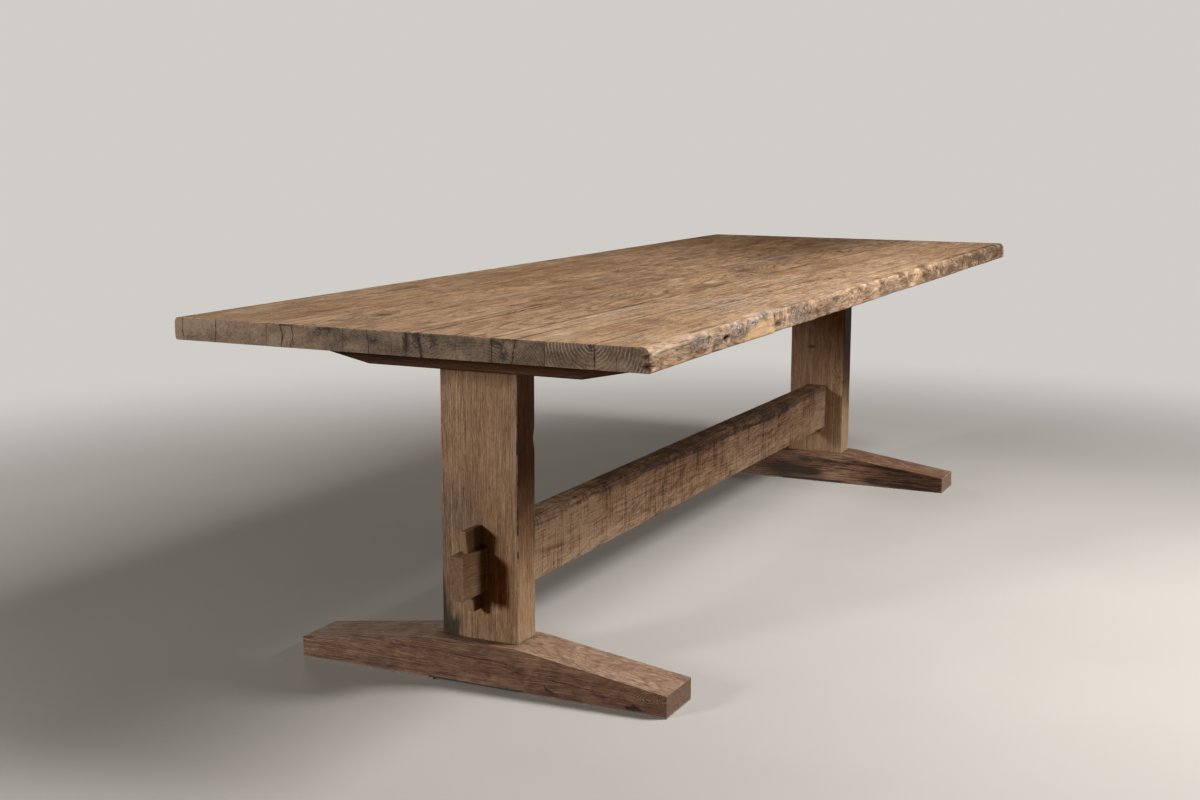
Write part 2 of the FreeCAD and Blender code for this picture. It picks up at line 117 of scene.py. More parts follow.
# How far the closely set points stand from an arris.
NEAR_ARRIS = (1.2 * MM, 2.8 * MM, 5.0 * MM)


def graded(stops, step, fine=NEAR_ARRIS, growth=1.0):
    """Places from the first stop to the last, through every stop, closer beside stops.
    Growth is how much wider the last steps are than the first."""
    first, last = stops[0], stops[-1]
    places = [first]
    for a, b in zip(stops, stops[1:]):
        span = b - a
        beside = [d for d in fine if d < span * 0.3]
        inner = beside[-1] if beside else 0.0
        here = ((a + b) / 2 - first) / (last - first)
        count = max(1, round((span - 2 * inner) / (step * (1 + (growth - 1) * here))))
        places += [a + d for d in beside[:-1]]
        middle = np.linspace(0, 1, count + 1)
        if growth > 1 and span > 0.5 * (last - first):
            middle = (middle + (growth - 1) * middle**2 / 2) / (1 + (growth - 1) / 2)
        middle = a + inner + middle * (span - 2 * inner)
        places += list(middle if beside else middle[1:-1])
        places += [b - d for d in beside[:-1][::-1]]
        places.append(b)
    return np.array(places)


def shell(places, inside):
    """Corner points and outward quads round the cells that inside marks."""
    filled = np.pad(inside, 1)
    corners = np.array(inside.shape) + 1
    quads = []
    for axis in range(3):
        second, third = (axis + 1) % 3, (axis + 2) % 3
        for high in (0, 1):
            beyond = np.roll(filled, -1 if high else 1, axis)[1:-1, 1:-1, 1:-1]
            open_cells = np.argwhere(inside & ~beyond)
            ring = []
            for one, two in ((0, 0), (1, 0), (1, 1), (0, 1)):
                corner = open_cells.copy()
                corner[:, axis] += high
                corner[:, second] += one
                corner[:, third] += two
                ring.append(np.ravel_multi_index(corner.T, corners))
            ring = np.stack(ring, 1)
            quads.append(ring if high else ring[:, ::-1])
    used, quads = np.unique(np.concatenate(quads), return_inverse=True)
    index = np.stack(np.unravel_index(used, corners), 1)
    points = np.stack([places[a][index[:, a]] for a in range(3)], 1)
    return points, quads.reshape(-1, 4)


def cells(places, *boxes):
    """Marks the cells of the boxes. A box is (low corner, high corner, True or False)."""
    middles = [(p[1:] + p[:-1]) / 2 for p in places]
    marked = np.zeros([len(m) for m in middles], bool)
    for low, high, fill in boxes:
        within = [(m > a) & (m < b) for m, a, b in zip(middles, low, high)]
        marked[np.ix_(*within)] = fill
    return marked


def add_up(where, values, count):
    return np.stack([np.bincount(where, values[:, k], count) for k in range(3)], 1)


def normals_of(points, quads):
    across = points[quads[:, 2]] - points[quads[:, 0]]
    along = points[quads[:, 3]] - points[quads[:, 1]]
    face = np.cross(across, along)
    total = add_up(quads.ravel(), np.repeat(face, 4, axis=0), len(points))
    return total / np.maximum(np.linalg.norm(total, axis=1, keepdims=True), 1e-12)


def placed(name, data):
    """An object in the scene that shows this data."""
    made = bpy.data.objects.new(name, data)
    bpy.context.scene.collection.objects.link(made)
    return made


# What the shader reads from each mesh, three marks to an attribute.
FIELDS = {
    "figure": ("lift", "tone", "dark"), "surface": ("grey", "wear", "ends"),
    "cracks": ("split", "open", "curl"), "knots": ("knot", "swirl", "planed"),
}


class Wood:
    """One wooden piece on its way to a mesh: its points, faces and surface marks.
    lift bends the grain, tone lightens or darkens, and in places carries painted light and
    shade, dark is knots and rot, and in places painted shade in creases and gaps, grey is
    weathering, wear is bared arrises, ends is sawn ends, split is the signed distance to
    a crack and open how far it gapes, and curl is the feathered figure round old knots,
    or below 0 a clean yellow cleft. knot is the distance to the nearest knot, swirl how
    plainly its rings show, and planed where saw marks have been planed off."""

    def __init__(self, node, places, *boxes):
        self.node = node
        self.points, self.quads = shell(places, cells(places, *boxes))
        self.rest = self.points.copy()
        for marks in FIELDS.values():
            for mark in marks:
                setattr(self, mark, np.zeros(len(self.points)))

    def noise(self, scale, octaves, seed):
        return layers(self.rest, scale, octaves, seed)

    def patchy(self, base, amount, *of_noise, top=1):
        """Comes and goes between 0 and top."""
        return np.clip(base + amount * self.noise(*of_noise), 0, top)

    def waves(self, *sizes):
        """A depth made up of waves of (millimetres, scale, octaves, seed)."""
        return sum(deep * MM * (1 + self.noise(*of_noise)) for deep, *of_noise in sizes)

    def add(self, mark, amount):
        getattr(self, mark)[:] += amount

    def soften(self, rounds, seed, share=1.0):
        """Rounds the arrises over unevenly: points that stand out move in. Share is how
        much of the wear each point gets."""
        uneven = 0.55 + 0.45 * self.noise((14, 14, 14), 3, seed)
        weight = 0.5 * share * np.clip(uneven, 0.12, 1)
        points, quads, count = self.points, self.quads, len(self.points)
        here = np.concatenate([quads.ravel(), np.roll(quads, -1, 1).ravel()])
        there = np.concatenate([np.roll(quads, -1, 1).ravel(), quads.ravel()])
        beside = np.maximum(np.bincount(here, minlength=count), 1)[:, None]
        for _ in range(rounds):
            middle = add_up(here, points[there], count) / beside
            normal = normals_of(points, quads)
            pull = np.einsum("ij,ij->i", middle - points, normal)
            points = points + (weight * np.minimum(pull, 0))[:, None] * normal
        moved = np.linalg.norm(points - self.points, axis=1)
        self.points = points
        self.wear = np.maximum(self.wear, np.clip(moved / (1.1 * MM), 0, 1))

    def sink(self, depth):
        """Moves the skin in along its normal by depth, which is never negative."""
        normal = normals_of(self.points, self.quads)
        self.points = self.points - np.maximum(depth, 0)[:, None] * normal

    def finish(self, material, body="table", grain=0):
        """Makes the smooth mesh and hands it to the frame in its node's place."""
        self.ends = np.abs(normals_of(self.points, self.quads)[:, grain]) ** 3
        name = "dressed_" + self.node
        mesh = bpy.data.meshes.new(name)
        mesh.vertices.add(len(self.points))
        mesh.vertices.foreach_set("co", self.points.astype(np.float32).ravel())
        mesh.loops.add(self.quads.size)
        mesh.loops.foreach_set("vertex_index", self.quads.astype(np.int32).ravel())
        mesh.polygons.add(len(self.quads))
        starts = np.arange(0, self.quads.size, 4, dtype=np.int32)
        mesh.polygons.foreach_set("loop_start", starts)
        mesh.update(calc_edges=True)
        mesh.validate()
        for field, marks in FIELDS.items():
            values = np.stack([getattr(self, mark) for mark in marks], 1)
            stored = mesh.attributes.new(field, "FLOAT_VECTOR", "POINT")
            stored.data.foreach_set("vector", values.astype(np.float32).ravel())
        mesh.shade_smooth()
        mesh.materials.append(material)
        piece = placed(name, mesh)
        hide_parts(self.node)
        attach(piece, body)


# ---------------------------------------------------------------- materials


def colour(red, green, blue):
    """A colour as seen on a screen, 0 to 255, to Blender's linear values."""
    values = [c / 255 for c in (red, green, blue)]
    linear = [v / 12.92 if v <= 0.04045 else ((v + 0.055) / 1.055) ** 2.4 for v in values]
    return (*linear, 1.0)


def palette(*values):
    return tuple(colour(*v) for v in values)


class Value:
    """What a node gives out. Arithmetic with it adds Math nodes."""

    def __init__(self, shader, socket):
        self.shader, self.socket = shader, socket

    def __add__(self, other):
        return self.shader.math("ADD", self, other)

    def __sub__(self, other):
        return self.shader.math("SUBTRACT", self, other)

    def __rsub__(self, other):
        return self.shader.math("SUBTRACT", other, self)

    def __mul__(self, other):
        return self.shader.math("MULTIPLY", self, other)

    def __truediv__(self, other):
        return self.shader.math("DIVIDE", self, other)

    def __abs__(self):
        return self.shader.math("ABSOLUTE", self)


class Shader:
    """Builds the nodes of a material or world with short calls."""

    def __init__(self, made):
        self.made = made
        made.use_nodes = True
        self.tree = made.node_tree
        self.tree.nodes.clear()

    def node(self, kind, inputs, **settings):
        made = self.tree.nodes.new("ShaderNode" + kind)
        for name, value in settings.items():
            setattr(made, name, value)
        for name, value in inputs.items():
            if isinstance(value, Value):
                self.tree.links.new(value.socket, made.inputs[name])
            else:
                made.inputs[name].default_value = value
        return made

    def value(self, kind, inputs, output=0, **settings):
        return Value(self, self.node(kind, inputs, **settings).outputs[output])

    def math(self, operation, a, b=0.0, clamp=False):
        return self.value("Math", {0: a, 1: b}, operation=operation, use_clamp=clamp)

    def fraction(self, value):
        return self.math("FRACT", value)

    def larger(self, a, b):
        return self.math("MAXIMUM", a, b)

    def scaled(self, vector, x, y, z):
        return self.value("VectorMath", {0: vector, 1: (x, y, z)}, operation="MULTIPLY")

    def shifted(self, vector, by):
        return self.value("VectorMath", {0: vector, 1: by}, operation="ADD")

    def length(self, vector):
        return self.value("VectorMath", {0: vector}, "Value", operation="LENGTH")

    def turned(self, vector, angle):
        inputs = {"Vector": vector, "Axis": (0.0, 1.0, 0.0), "Angle": angle}
        return self.value("VectorRotate", inputs)

    def noise(self, vector, stretch, detail=3.0, rough=0.55, distortion=0.0):
        return self.value("TexNoise", {
            "Vector": self.scaled(vector, *stretch), "Scale": 1.0, "Detail": detail,
            "Roughness": rough, "Distortion": distortion,
        }, "Fac")

    def step(self, value, low, high, bottom=0.0, top=1.0):
        """Eases from bottom to top as the value goes from low to high."""
        inputs = {0: value, 1: low, 2: high, 3: bottom, 4: top}
        return self.value("MapRange", inputs, interpolation_type="SMOOTHSTEP")

    def mix(self, factor, a, b, blend="MIX"):
        return self.value("Mix", {0: factor, 6: a, 7: b}, 2, data_type="RGBA",
                          blend_type=blend, clamp_factor=True)

    def ramp(self, value, *stops):
        made = self.node("ValToRGB", {0: value})
        points = made.color_ramp.elements
        points[0].position, points[0].color = stops[0]
        points[1].position, points[1].color = stops[-1]
        for place, shade in stops[1:-1]:
            points.new(place).color = shade
        return Value(self, made.outputs[0])

    def split(self, vector):
        return [Value(self, part) for part in self.node("SeparateXYZ", {0: vector}).outputs]

    def join(self, x, y, z):
        return self.value("CombineXYZ", {0: x, 1: y, 2: z})

    def place(self):
        return self.value("TexCoord", {}, "Object")

    def ray(self, kind):
        return self.value("LightPath", {}, kind)

    def field(self, name):
        return self.split(self.value("Attribute", {}, "Vector", attribute_name=name,
                                     attribute_type="GEOMETRY"))

    def coat(self, base, rough, height, relief, depth, others):
        """Ends a material in a Principled surface with this relief."""
        bump = self.value("Bump", {"Height": height, "Strength": relief, "Distance": depth})
        self.node("OutputMaterial", {"Surface": self.value("BsdfPrincipled", {
            "Base Color": base, "Roughness": rough, "Normal": bump, **others})})
        return self.made


# Sawn ends, from their deepest colour to the rings drawn on them.
END_SHADES = palette((63, 51, 42), (105, 88, 73), (147, 127, 107), (184, 163, 139))
FRAME_END_SHADES = palette((94, 67, 47), (136, 105, 80), (170, 139, 111), (186, 158, 131))
FOOT_END_SHADES = palette((72, 50, 40), (101, 80, 67), (130, 108, 94), (145, 124, 108))
ASHEN_SHADES = palette((66, 60, 56), (128, 118, 108), (178, 166, 152))

# Which object axes run along the grain and across it, for grain along X, Y and Z.
GRAIN_AXES = {"X": (0, 1, 2), "Y": (1, 2, 0), "Z": (2, 1, 0)}


def oak(name, grain, shades, offset, pith, tilt, pitch, rings, contrast, grey, relief,
        sawn=False, stain=0.35, speckle=0.5, start=0.0, drawn=0.1, broad=1.0, fine=1.0,
        figured=(0.4, 2.5), ends_of=END_SHADES):
    """Old oak cut along one axis. Shades run from its deepest to its palest colour; broad
    is the strength of its wide streaks, fine how narrow the grain is, and figured how
    plain the short cloudy figure across it is, and how small."""
    s = Shader(bpy.data.materials.new(name))
    place = s.split(s.place())
    u, v, w = (place[k] for k in GRAIN_AXES[grain])
    lift, tone, dark = s.field("figure")
    weather, wear, ends = s.field("surface")
    crack, opened, curl = s.field("cracks")
    knot, swirl, planed = s.field("knots")

    moved = s.shifted(s.join(u, v, w), offset)
    wander = s.value("TexNoise", {
        "Vector": s.scaled(moved, 2.2, 5, 5), "Scale": 1.0, "Detail": 2.0}, "Color")
    wander = s.scaled(s.shifted(wander, (-0.5, -0.5, -0.5)), 0.03, 0.018, 0.018)
    bent = s.shifted(s.shifted(moved, wander), s.join(0.0, lift, lift * 0.6))

    # growth rings round a pith that leans through the piece
    run = u - start
    shift = s.split(wander)
    across = v - pith[0] - run * tilt[0] + shift[1] * 0.55
    up = w - pith[1] - run * tilt[1] + shift[2] * 0.55
    years = (s.length(s.join(across, up, 0.0)) + lift) / pitch
    years = years + s.noise(moved, (1.5, 18, 18), 2.0) * 2.6
    phase = s.fraction(years)
    ring = s.step(phase, 0.0, 0.4) * s.step(phase, 1.0, 0.86)

    # the figure along the grain, from broad streaks down to single fibres
    streak = s.noise(bent, (4.6, 56 * fine, 56 * fine), 5.0, 0.68)
    patch = s.noise(moved, (2.8, 8, 8), 3.0, 0.6)
    mottle = s.noise(bent, (17, 140 * fine, 140 * fine), 4.0, 0.72, 0.4)
    fibre = s.noise(bent, (46, 400, 400), 4.0, 0.75)
    hair = s.noise(bent, (7, 330, 330), 2.0, 0.6)
    pore = s.step(s.noise(bent, (110, 1300, 1300), 2.0, 0.6), 0.53, 0.68)
    value = (streak - 0.5) * (1.45 * contrast * broad)
    for part, middle, amount in (
        (patch, 0.5, 0.75 * contrast * broad), (mottle, 0.5, 1.2 * contrast),
        (fibre, 0.5, 1.1 * contrast), (ring, 0.6, rings), (hair, 0.5, 0.9 * contrast),
    ):
        value = value + (part - middle) * amount
    veins = abs(s.noise(bent, (1.8, 44 * fine, 44 * fine), 4.0, 0.6) - 0.5)
    veins = s.step(veins, 0.018, 0.003) * s.step(patch, 0.42, 0.56)
    value = value - veins * (0.42 * contrast)
    plain, small = figured
    cloud = s.noise(moved, (13 * small, 24 * small, 24 * small), 6.0, 0.72, 0.6)
    value = value + (cloud - 0.5) * plain

    # rings round the knots, marks from the mesh, flecks, and feathering beside knots
    knot = knot + s.noise(moved, (42, 42, 60), 4.0, 0.65) * (24 * MM)
    turns = s.fraction(knot / (6.5 * MM))
    turns = s.step(turns, 0.0, 0.45) * s.step(turns, 1.0, 0.55)
    value = value + (turns - 0.6) * swirl + tone * 0.5
    fleck = s.noise(bent, (11, 165 * fine, 165 * fine), 3.0, 0.6)
    value = value - s.step(fleck, 0.58, 0.72, 0.0, 0.34 * contrast)
    value = value + s.step(fleck, 0.40, 0.30, 0.0, 0.22 * contrast)
    feather = s.noise(s.turned(bent, 1.12), (14, 70, 170), 4.0, 0.7, 0.5)
    feather = (feather - 0.53) * s.step(curl, 0.02, 0.8)
    value = (value + feather * 2.6) * (1.0 - planed * 0.4) + 0.52

    if sawn:
        # the saw's ticks across the grain, in blocks, and slanting scores
        unplaned = 1.0 - planed
        ticks = s.step(s.noise(moved, (165, 10, 10), 3.0, 0.6, 0.5), 0.38, 0.50) - 0.75
        blocks = s.noise(moved, (13, 8, 8), 3.0, 0.62)
        scores = s.noise(s.turned(moved, 0.35), (12, 40, 130), 3.0, 0.65, 0.6)
        scores = s.step(scores, 0.36, 0.50) - 0.75
        saw = ticks * s.step(blocks, 0.62, 0.42, 0.25, 0.9) + scores * 0.55
        saw = saw * unplaned
        value = value + saw * 0.42 + (blocks - 0.5) * unplaned * 0.9
    base = s.ramp(value, *((0.02 + 0.96 * k / (len(shades) - 1), shade)
                           for k, shade in enumerate(shades)))

    # warm and cool patches, then weathered grey
    hue = s.noise(moved, (1.3, 4.2, 4.2), 2.0)
    base = s.mix(s.step(hue, 0.4, 0.75, 0.0, 0.55), base, colour(214, 188, 150), "MULTIPLY")
    base = s.mix(s.step(curl, -0.1, -1.0, 0.0, 0.5), base, colour(188, 154, 108))
    ashen = s.step(s.noise(bent, (6, 38, 38), 4.0, 0.65), 0.5, 0.75, 0.0, grey)
    ashen = s.math("ADD", ashen, weather, clamp=True)
    base = s.mix(ashen, base, s.ramp(value, *zip((0.1, 0.5, 0.9), ASHEN_SHADES)))
    blotch = s.noise(moved, (5, 16, 16), 4.0, 0.65, 0.4)
    blotch = s.step(blotch, 0.56, 0.8, 0.0, stain)
    base = s.mix(blotch, base, colour(128, 104, 84), "MULTIPLY")
    base = s.mix(pore * (0.4 * speckle), base, shades[0])

    # sawn ends: duller, with the rings drawn sharp
    decade = s.fraction(years * 0.5 + s.noise(moved, (1, 75, 75), 2.0) * 0.7)
    line = s.step(decade, 0.55, 0.82) * s.step(decade, 1.0, 0.9)
    line = line * s.step(s.noise(moved, (1, 26, 40), 3.0), 0.36, 0.66, 0.15, 1.0)
    rays = s.noise(moved, (1, 230, 46), 3.0, 0.65)
    grit = s.noise(moved, (1, 320, 320), 3.0, 0.7)
    cut = streak * 0.5 + mottle * 0.6 + (grit - 0.5) * 0.7 + tone * 0.3
    cut = s.ramp(cut, *zip((0.3, 0.55, 0.85), ends_of))
    cut = s.mix(line * drawn, cut, ends_of[3])
    cut = s.mix(s.step(rays, 0.58, 0.72, 0.0, 0.45), cut, ends_of[0])
    base = s.mix(s.step(ends, 0.25, 0.75), base, cut)

    # bared arrises, knots, rot and cracks, and the painted shade that some pieces carry in dark
    base = s.mix(wear * s.step(mottle, 0.35, 0.7, 0.12, 0.6), base, shades[-1])
    ragged = s.step(dark + (mottle - 0.5) * 1.4, 0.12, 0.95) * s.step(dark, 0.0, 0.2)
    torn = s.value("TexNoise", {"Vector": moved, "Scale": 38.0, "Detail": 3.0}, "Color")
    torn = s.scaled(s.shifted(moved, s.scaled(torn, 0.03, 0.03, 0.03)), 34, 62, 62)
    checks = s.value("TexVoronoi", {"Vector": torn, "Scale": 1.0}, "Distance",
                     feature="DISTANCE_TO_EDGE")
    checks = s.step(checks, 0.13, 0.03) * s.step(dark, 0.1, 0.55)
    checks = checks * s.larger(ends, s.step(curl, 0.05, 0.4))
    ragged = s.larger(ragged * s.step(dark, 0.5, 1.1, 0.6, 1.0), checks)
    base = s.mix(ragged * 0.92, base, colour(38, 29, 22))
    jitter = s.noise(moved, (45, 150, 150), 3.0, 0.65)
    gap = opened * s.step(jitter, 0.36, 0.66, 0.05, 1.7) * (2.0 * MM) - abs(crack)
    base = s.mix(s.step(gap, -6 * MM, 0.0) * opened * 0.4, base, shades[0])
    gap = s.step(gap, -0.7 * MM, 0.7 * MM)
    base = s.mix(gap * 0.85, base, colour(30, 23, 18))

    height = fibre * 0.8
    for part, amount in (
        (mottle, 1.1), (streak, 0.9), (ring, 0.2), (pore, -0.35), (gap, -2.0), (feather, 2.0),
        *([(saw, 0.8)] if sawn else []),
    ):
        height = height + part * amount
    rough = s.math("ADD", mottle * 0.25 + 0.5, pore * 0.12, clamp=True)
    return s.coat(base, rough, height, relief, 1.2 * MM, {"Specular IOR Level": 0.35})


def felt():
    """Pressed wool felt: mixed grey fibres with a soft nap."""
    s = Shader(bpy.data.materials.new("pressed_felt"))
    wool = s.noise(s.place(), (900, 900, 1400), 5.0, 0.75, 1.2)
    lint = s.noise(s.place(), (160, 160, 300), 4.0, 0.6, 0.8)
    mixed = wool * 0.7 + lint * 0.5
    greys = palette((70, 66, 62), (112, 107, 100), (160, 154, 146))
    base = s.ramp(mixed, *zip((0.3, 0.6, 0.85), greys))
    return s.coat(base, 0.95, mixed, 0.9, 0.8 * MM,
                  {"Sheen Weight": 0.25, "Sheen Roughness": 0.6})


def zinc():
    """Zinc plate, dulled and faintly spangled."""
    s = Shader(bpy.data.materials.new("zinc_plate"))
    spangle = s.scaled(s.place(), 260, 260, 260)
    spangle = s.value("TexVoronoi", {"Vector": spangle, "Scale": 1.0}, "Color")
    smear = s.noise(s.place(), (90, 90, 90), 5.0, 0.65)
    mixed = s.split(spangle)[0] * 0.4 + smear * 0.7
    greys = palette((120, 122, 124), (168, 170, 172), (200, 202, 204))
    base = s.ramp(mixed, *zip((0.2, 0.6, 0.95), greys))
    return s.coat(base, mixed * 0.3 + 0.28, smear, 0.25, 0.3 * MM, {"Metallic": 1.0})


TOP_SHADES = palette(
    (80, 57, 39), (120, 93, 68), (156, 127, 99), (184, 154, 123), (206, 181, 151))
FRAME_SHADES = palette(
    (80, 53, 32), (128, 95, 66), (166, 129, 95), (192, 157, 122), (216, 187, 154))
STRETCHER_SHADES = palette(
    (64, 42, 28), (132, 99, 74), (170, 137, 108), (196, 165, 136), (218, 192, 165))
FOOT_SHADES = palette(
    (48, 29, 20), (82, 56, 41), (109, 80, 61), (131, 101, 81), (155, 132, 112))
# The bearers' and the wedges' oak is darker and warmer than the frame's, partly painted shade,
# as both stand in shade.
BEARER_SHADES = palette(
    (46, 24, 9), (76, 44, 20), (105, 67, 33), (128, 88, 49), (156, 117, 76))
WEDGE_SHADES = palette(
    (50, 28, 13), (84, 54, 29), (112, 79, 48), (138, 104, 70), (166, 135, 101))

# For oak(): grain, shades, offset, pith, tilt, ring width, rings, contrast, grey, relief.
LEG_OAK = {
    "left": oak("oak_leg_left", "Z", FRAME_SHADES, (3.1, 0.4, 0.2), (0.31, -0.9),
                (0.01, 0.0), 3.4 * MM, 0.12, 0.8, 0.1, 0.7, stain=0.22, speckle=1.0,
                broad=0.5, fine=1.8, ends_of=FRAME_END_SHADES),
    "right": oak("oak_leg_right", "Z", FRAME_SHADES, (5.3, 1.4, 0.7), (-0.22, 0.8),
                 (0.03, 0.02), 3.4 * MM, 0.14, 0.72, 0.12, 0.7, stain=0.4,
                 broad=0.7, fine=1.5, ends_of=FRAME_END_SHADES),
}
FOOT_OAK = {
    "left": oak("oak_foot_left", "Y", FOOT_SHADES, (0.4, 2.2, 0.9), (-0.08, -1.1),
                (0.02, 0.03), 3.6 * MM, 0.1, 0.7, 0.08, 0.7, broad=0.6, fine=1.5,
                figured=(1.1, 2.0), ends_of=FOOT_END_SHADES),
    "right": oak("oak_foot_right", "Y", FOOT_SHADES, (2.4, 3.2, 0.1), (-0.10, 1.2),
                 (0.0, 0.05), 3.6 * MM, 0.12, 1.0, 0.12, 0.8, broad=0.8, fine=1.4,
                 ends_of=FOOT_END_SHADES),
}
STRETCHER_OAK = oak("oak_stretcher", "X", STRETCHER_SHADES, (7.7, 0.2, 1.1), (0.16, 0.21),
                    (0.01, 0.02), 3.6 * MM, 0.1, 0.8, 0.08, 0.9, sawn=True, stain=0.5,
                    broad=0.6, fine=1.4, ends_of=FRAME_END_SHADES)
WEDGE_OAK = oak("oak_wedge", "Z", WEDGE_SHADES, (1.3, 4.2, 2.2), (0.05, -1.3),
                (0.01, 0.0), 2.6 * MM, 0.2, 0.7, 0.05, 0.5, stain=0.2,
                broad=0.6, fine=1.5, ends_of=FRAME_END_SHADES)
BEARER_OAK = {
    side: oak("oak_bearer_" + side, "Y", BEARER_SHADES, shift, (0.60, rise), (0.02, 0.01),
              3.4 * MM, 0.25, 0.8, 0.08, 0.7, stain=0.4)
    for side, shift, rise in (("left", (6.4, 1.2, 0.3), -1.1), ("right", (8.4, 2.6, 1.3), 1.1))
}
TONGUE_OAK = oak("oak_tongue", "X", TOP_SHADES, (9.0, 0.0, 0.0), (0.0, 0.5), (0.0, 0.01),
                 2.2 * MM, 0.3, 0.5, 0.0, 0.3, stain=0.0)


# ---------------------------------------------------------------- the top

# Per board, from the back to the front: the pith (across, height) at the near end and how
# it leans along the board, the ring width, how plainly the rings show on the sawn ends,
# how light its face is, and its cracks: distance across, lean through the thickness,
# first and last place along the table, and how far each has opened.
BOARDS = {
    "back": ((0.503, 0.53), (0.012, 0.016), 3.0 * MM, 0.12, -0.28,
             ((0.497, 0.02, -1.50, -0.90, 0.3), (0.415, -0.05, -1.50, -0.30, 0.42))),
    "second": ((0.204, 0.57), (-0.010, 0.020), 2.6 * MM, 0.12, -0.22,
               ((0.262, 0.08, -1.50, -1.05, 0.5), (0.235, -0.04, -1.50, -1.22, 0.3),
                (0.16, 0.0, 0.20, 1.10, 0.5))),
    "third": ((0.021, 0.88), (0.006, -0.018), 2.4 * MM, 0.18, -0.28,
              ((0.066, 0.05, -1.50, -1.28, 0.5), (0.02, 0.1, -0.4, 0.5, 0.4))),
    "fourth": ((-0.174, 0.51), (0.010, 0.024), 2.8 * MM, 0.25, -0.24,
               ((-0.045, 0.12, -1.50, -0.66, 0.95), (-0.12, 0.0, 0.30, 1.30, 0.5))),
    "fifth": ((-0.17, 0.655), (-0.004, 0.010), 2.6 * MM, 0.4, -0.12,
              ((-0.248, -0.22, -1.50, -1.15, 0.9),)),
    "front": ((-0.401, 0.772), (0.012, -0.030), 3.4 * MM, 0.75, -0.04,
              ((-0.401, 0.02, -1.50, -1.10, 0.6), (-0.362, -0.1, -0.95, 0.1, 0.55),
               (-0.44, 0.0, 0.15, 0.95, 0.5))),
}

# How far each joint has opened, from the back to the front, 0 at the outer edges.
JOINT_GAPS = (0, 0.7, 0.55, 0.85, 1.15, 0.75, 0)

THICKNESS = 46 * MM
GROOVE = 20.5 * MM
GROOVE_LEVELS = (17.9 * MM, 28.1 * MM)
GROOVE_STOP = 80 * MM

# Knots and stained places on the face: along, across, half length, half width, how
# dark, how grey, and how far they push the grain aside in millimetres.
FACE_MARKS = (
    (-1.22, 0.17, 0.04, 0.022, 0.75, 0.1, 14), (-1.26, 0.185, 0.1, 0.03, 0.25, 0.2, 0),
    (-0.78, 0.205, 0.05, 0.018, 0.45, 0, 8), (-0.31, 0.12, 0.11, 0.012, 0.55, 0.1, 5),
    (-0.1, 0.215, 0.05, 0.02, 0.45, 0, 8), (-1.1, -0.045, 0.045, 0.016, 0.5, 0.2, 9),
    (0.08, -0.105, 0.06, 0.028, 0.7, 0.45, 14), (0.03, -0.15, 0.02, 0.03, 0.6, 0.2, 4),
    (-0.69, -0.1, 0.05, 0.028, 0.35, 0.35, 8), (-0.83, -0.205, 0.07, 0.01, 0.75, 0.2, 4),
    (-0.3, -0.185, 0.075, 0.008, 0.55, 0.1, 3), (-1.07, -0.35, 0.04, 0.035, 0.4, 0.3, 10),
    (-1.0, -0.24, 0.09, 0.016, 0.15, 0.6, 4), (-0.72, -0.365, 0.1, 0.07, 0.12, 0.55, 22),
    (0.85, 0.205, 0.28, 0.018, 0.5, 0.1, 4), (0.46, -0.06, 0.23, 0.05, 0.3, 0.5, 6),
    (1.26, -0.04, 0.16, 0.08, 0.4, 0.3, 8), (0.24, -0.25, 0.035, 0.045, 0.4, 0.1, 9),
    (0.95, 0.235, 0.22, 0.05, 0.3, 0.05, 6), (-1.24, 0.435, 0.13, 0.03, 0.22, 0.3, 6),
    (-0.62, 0.33, 0.09, 0.03, 0.3, 0.1, 8), (0.35, 0.4, 0.12, 0.03, 0.25, 0.1, 8),
    (-1.33, -0.435, 0.08, 0.02, 0.15, 0.35, 6), (0.62, -0.42, 0.09, 0.03, 0.25, 0.25, 10),
    (-0.16, -0.33, 0.06, 0.03, 0.2, 0.35, 10), (1.16, -0.36, 0.08, 0.03, 0.3, 0.2, 8),
)

# Rot and stains on the sawn near end: across, share of the height, half sizes, how dark.
END_MARKS = (
    (0.165, 0.72, 0.026, 0.16, 0.5), (0.15, 0.92, 0.022, 0.1, 0.95),
    (0.13, 0.45, 0.01, 0.45, 0.35), (-0.022, 0.62, 0.009, 0.4, 1),
    (-0.047, 0.55, 0.013, 0.24, 0.8), (-0.08, 0.62, 0.01, 0.36, 0.95),
    (-0.055, 0.88, 0.03, 0.08, 0.7), (0.048, 0.55, 0.012, 0.22, 0.6),
    (0.245, 0.95, 0.03, 0.06, 0.7), (-0.212, 0.78, 0.016, 0.2, 0.8),
    (-0.225, 0.3, 0.012, 0.3, 0.55), (-0.245, 0.95, 0.02, 0.05, 0.6),
    (-0.398, 0.85, 0.007, 0.16, 0.95), (0.47, 0.15, 0.03, 0.12, 0.35),
    (0.3, 0.5, 0.006, 0.4, 0.6),
)

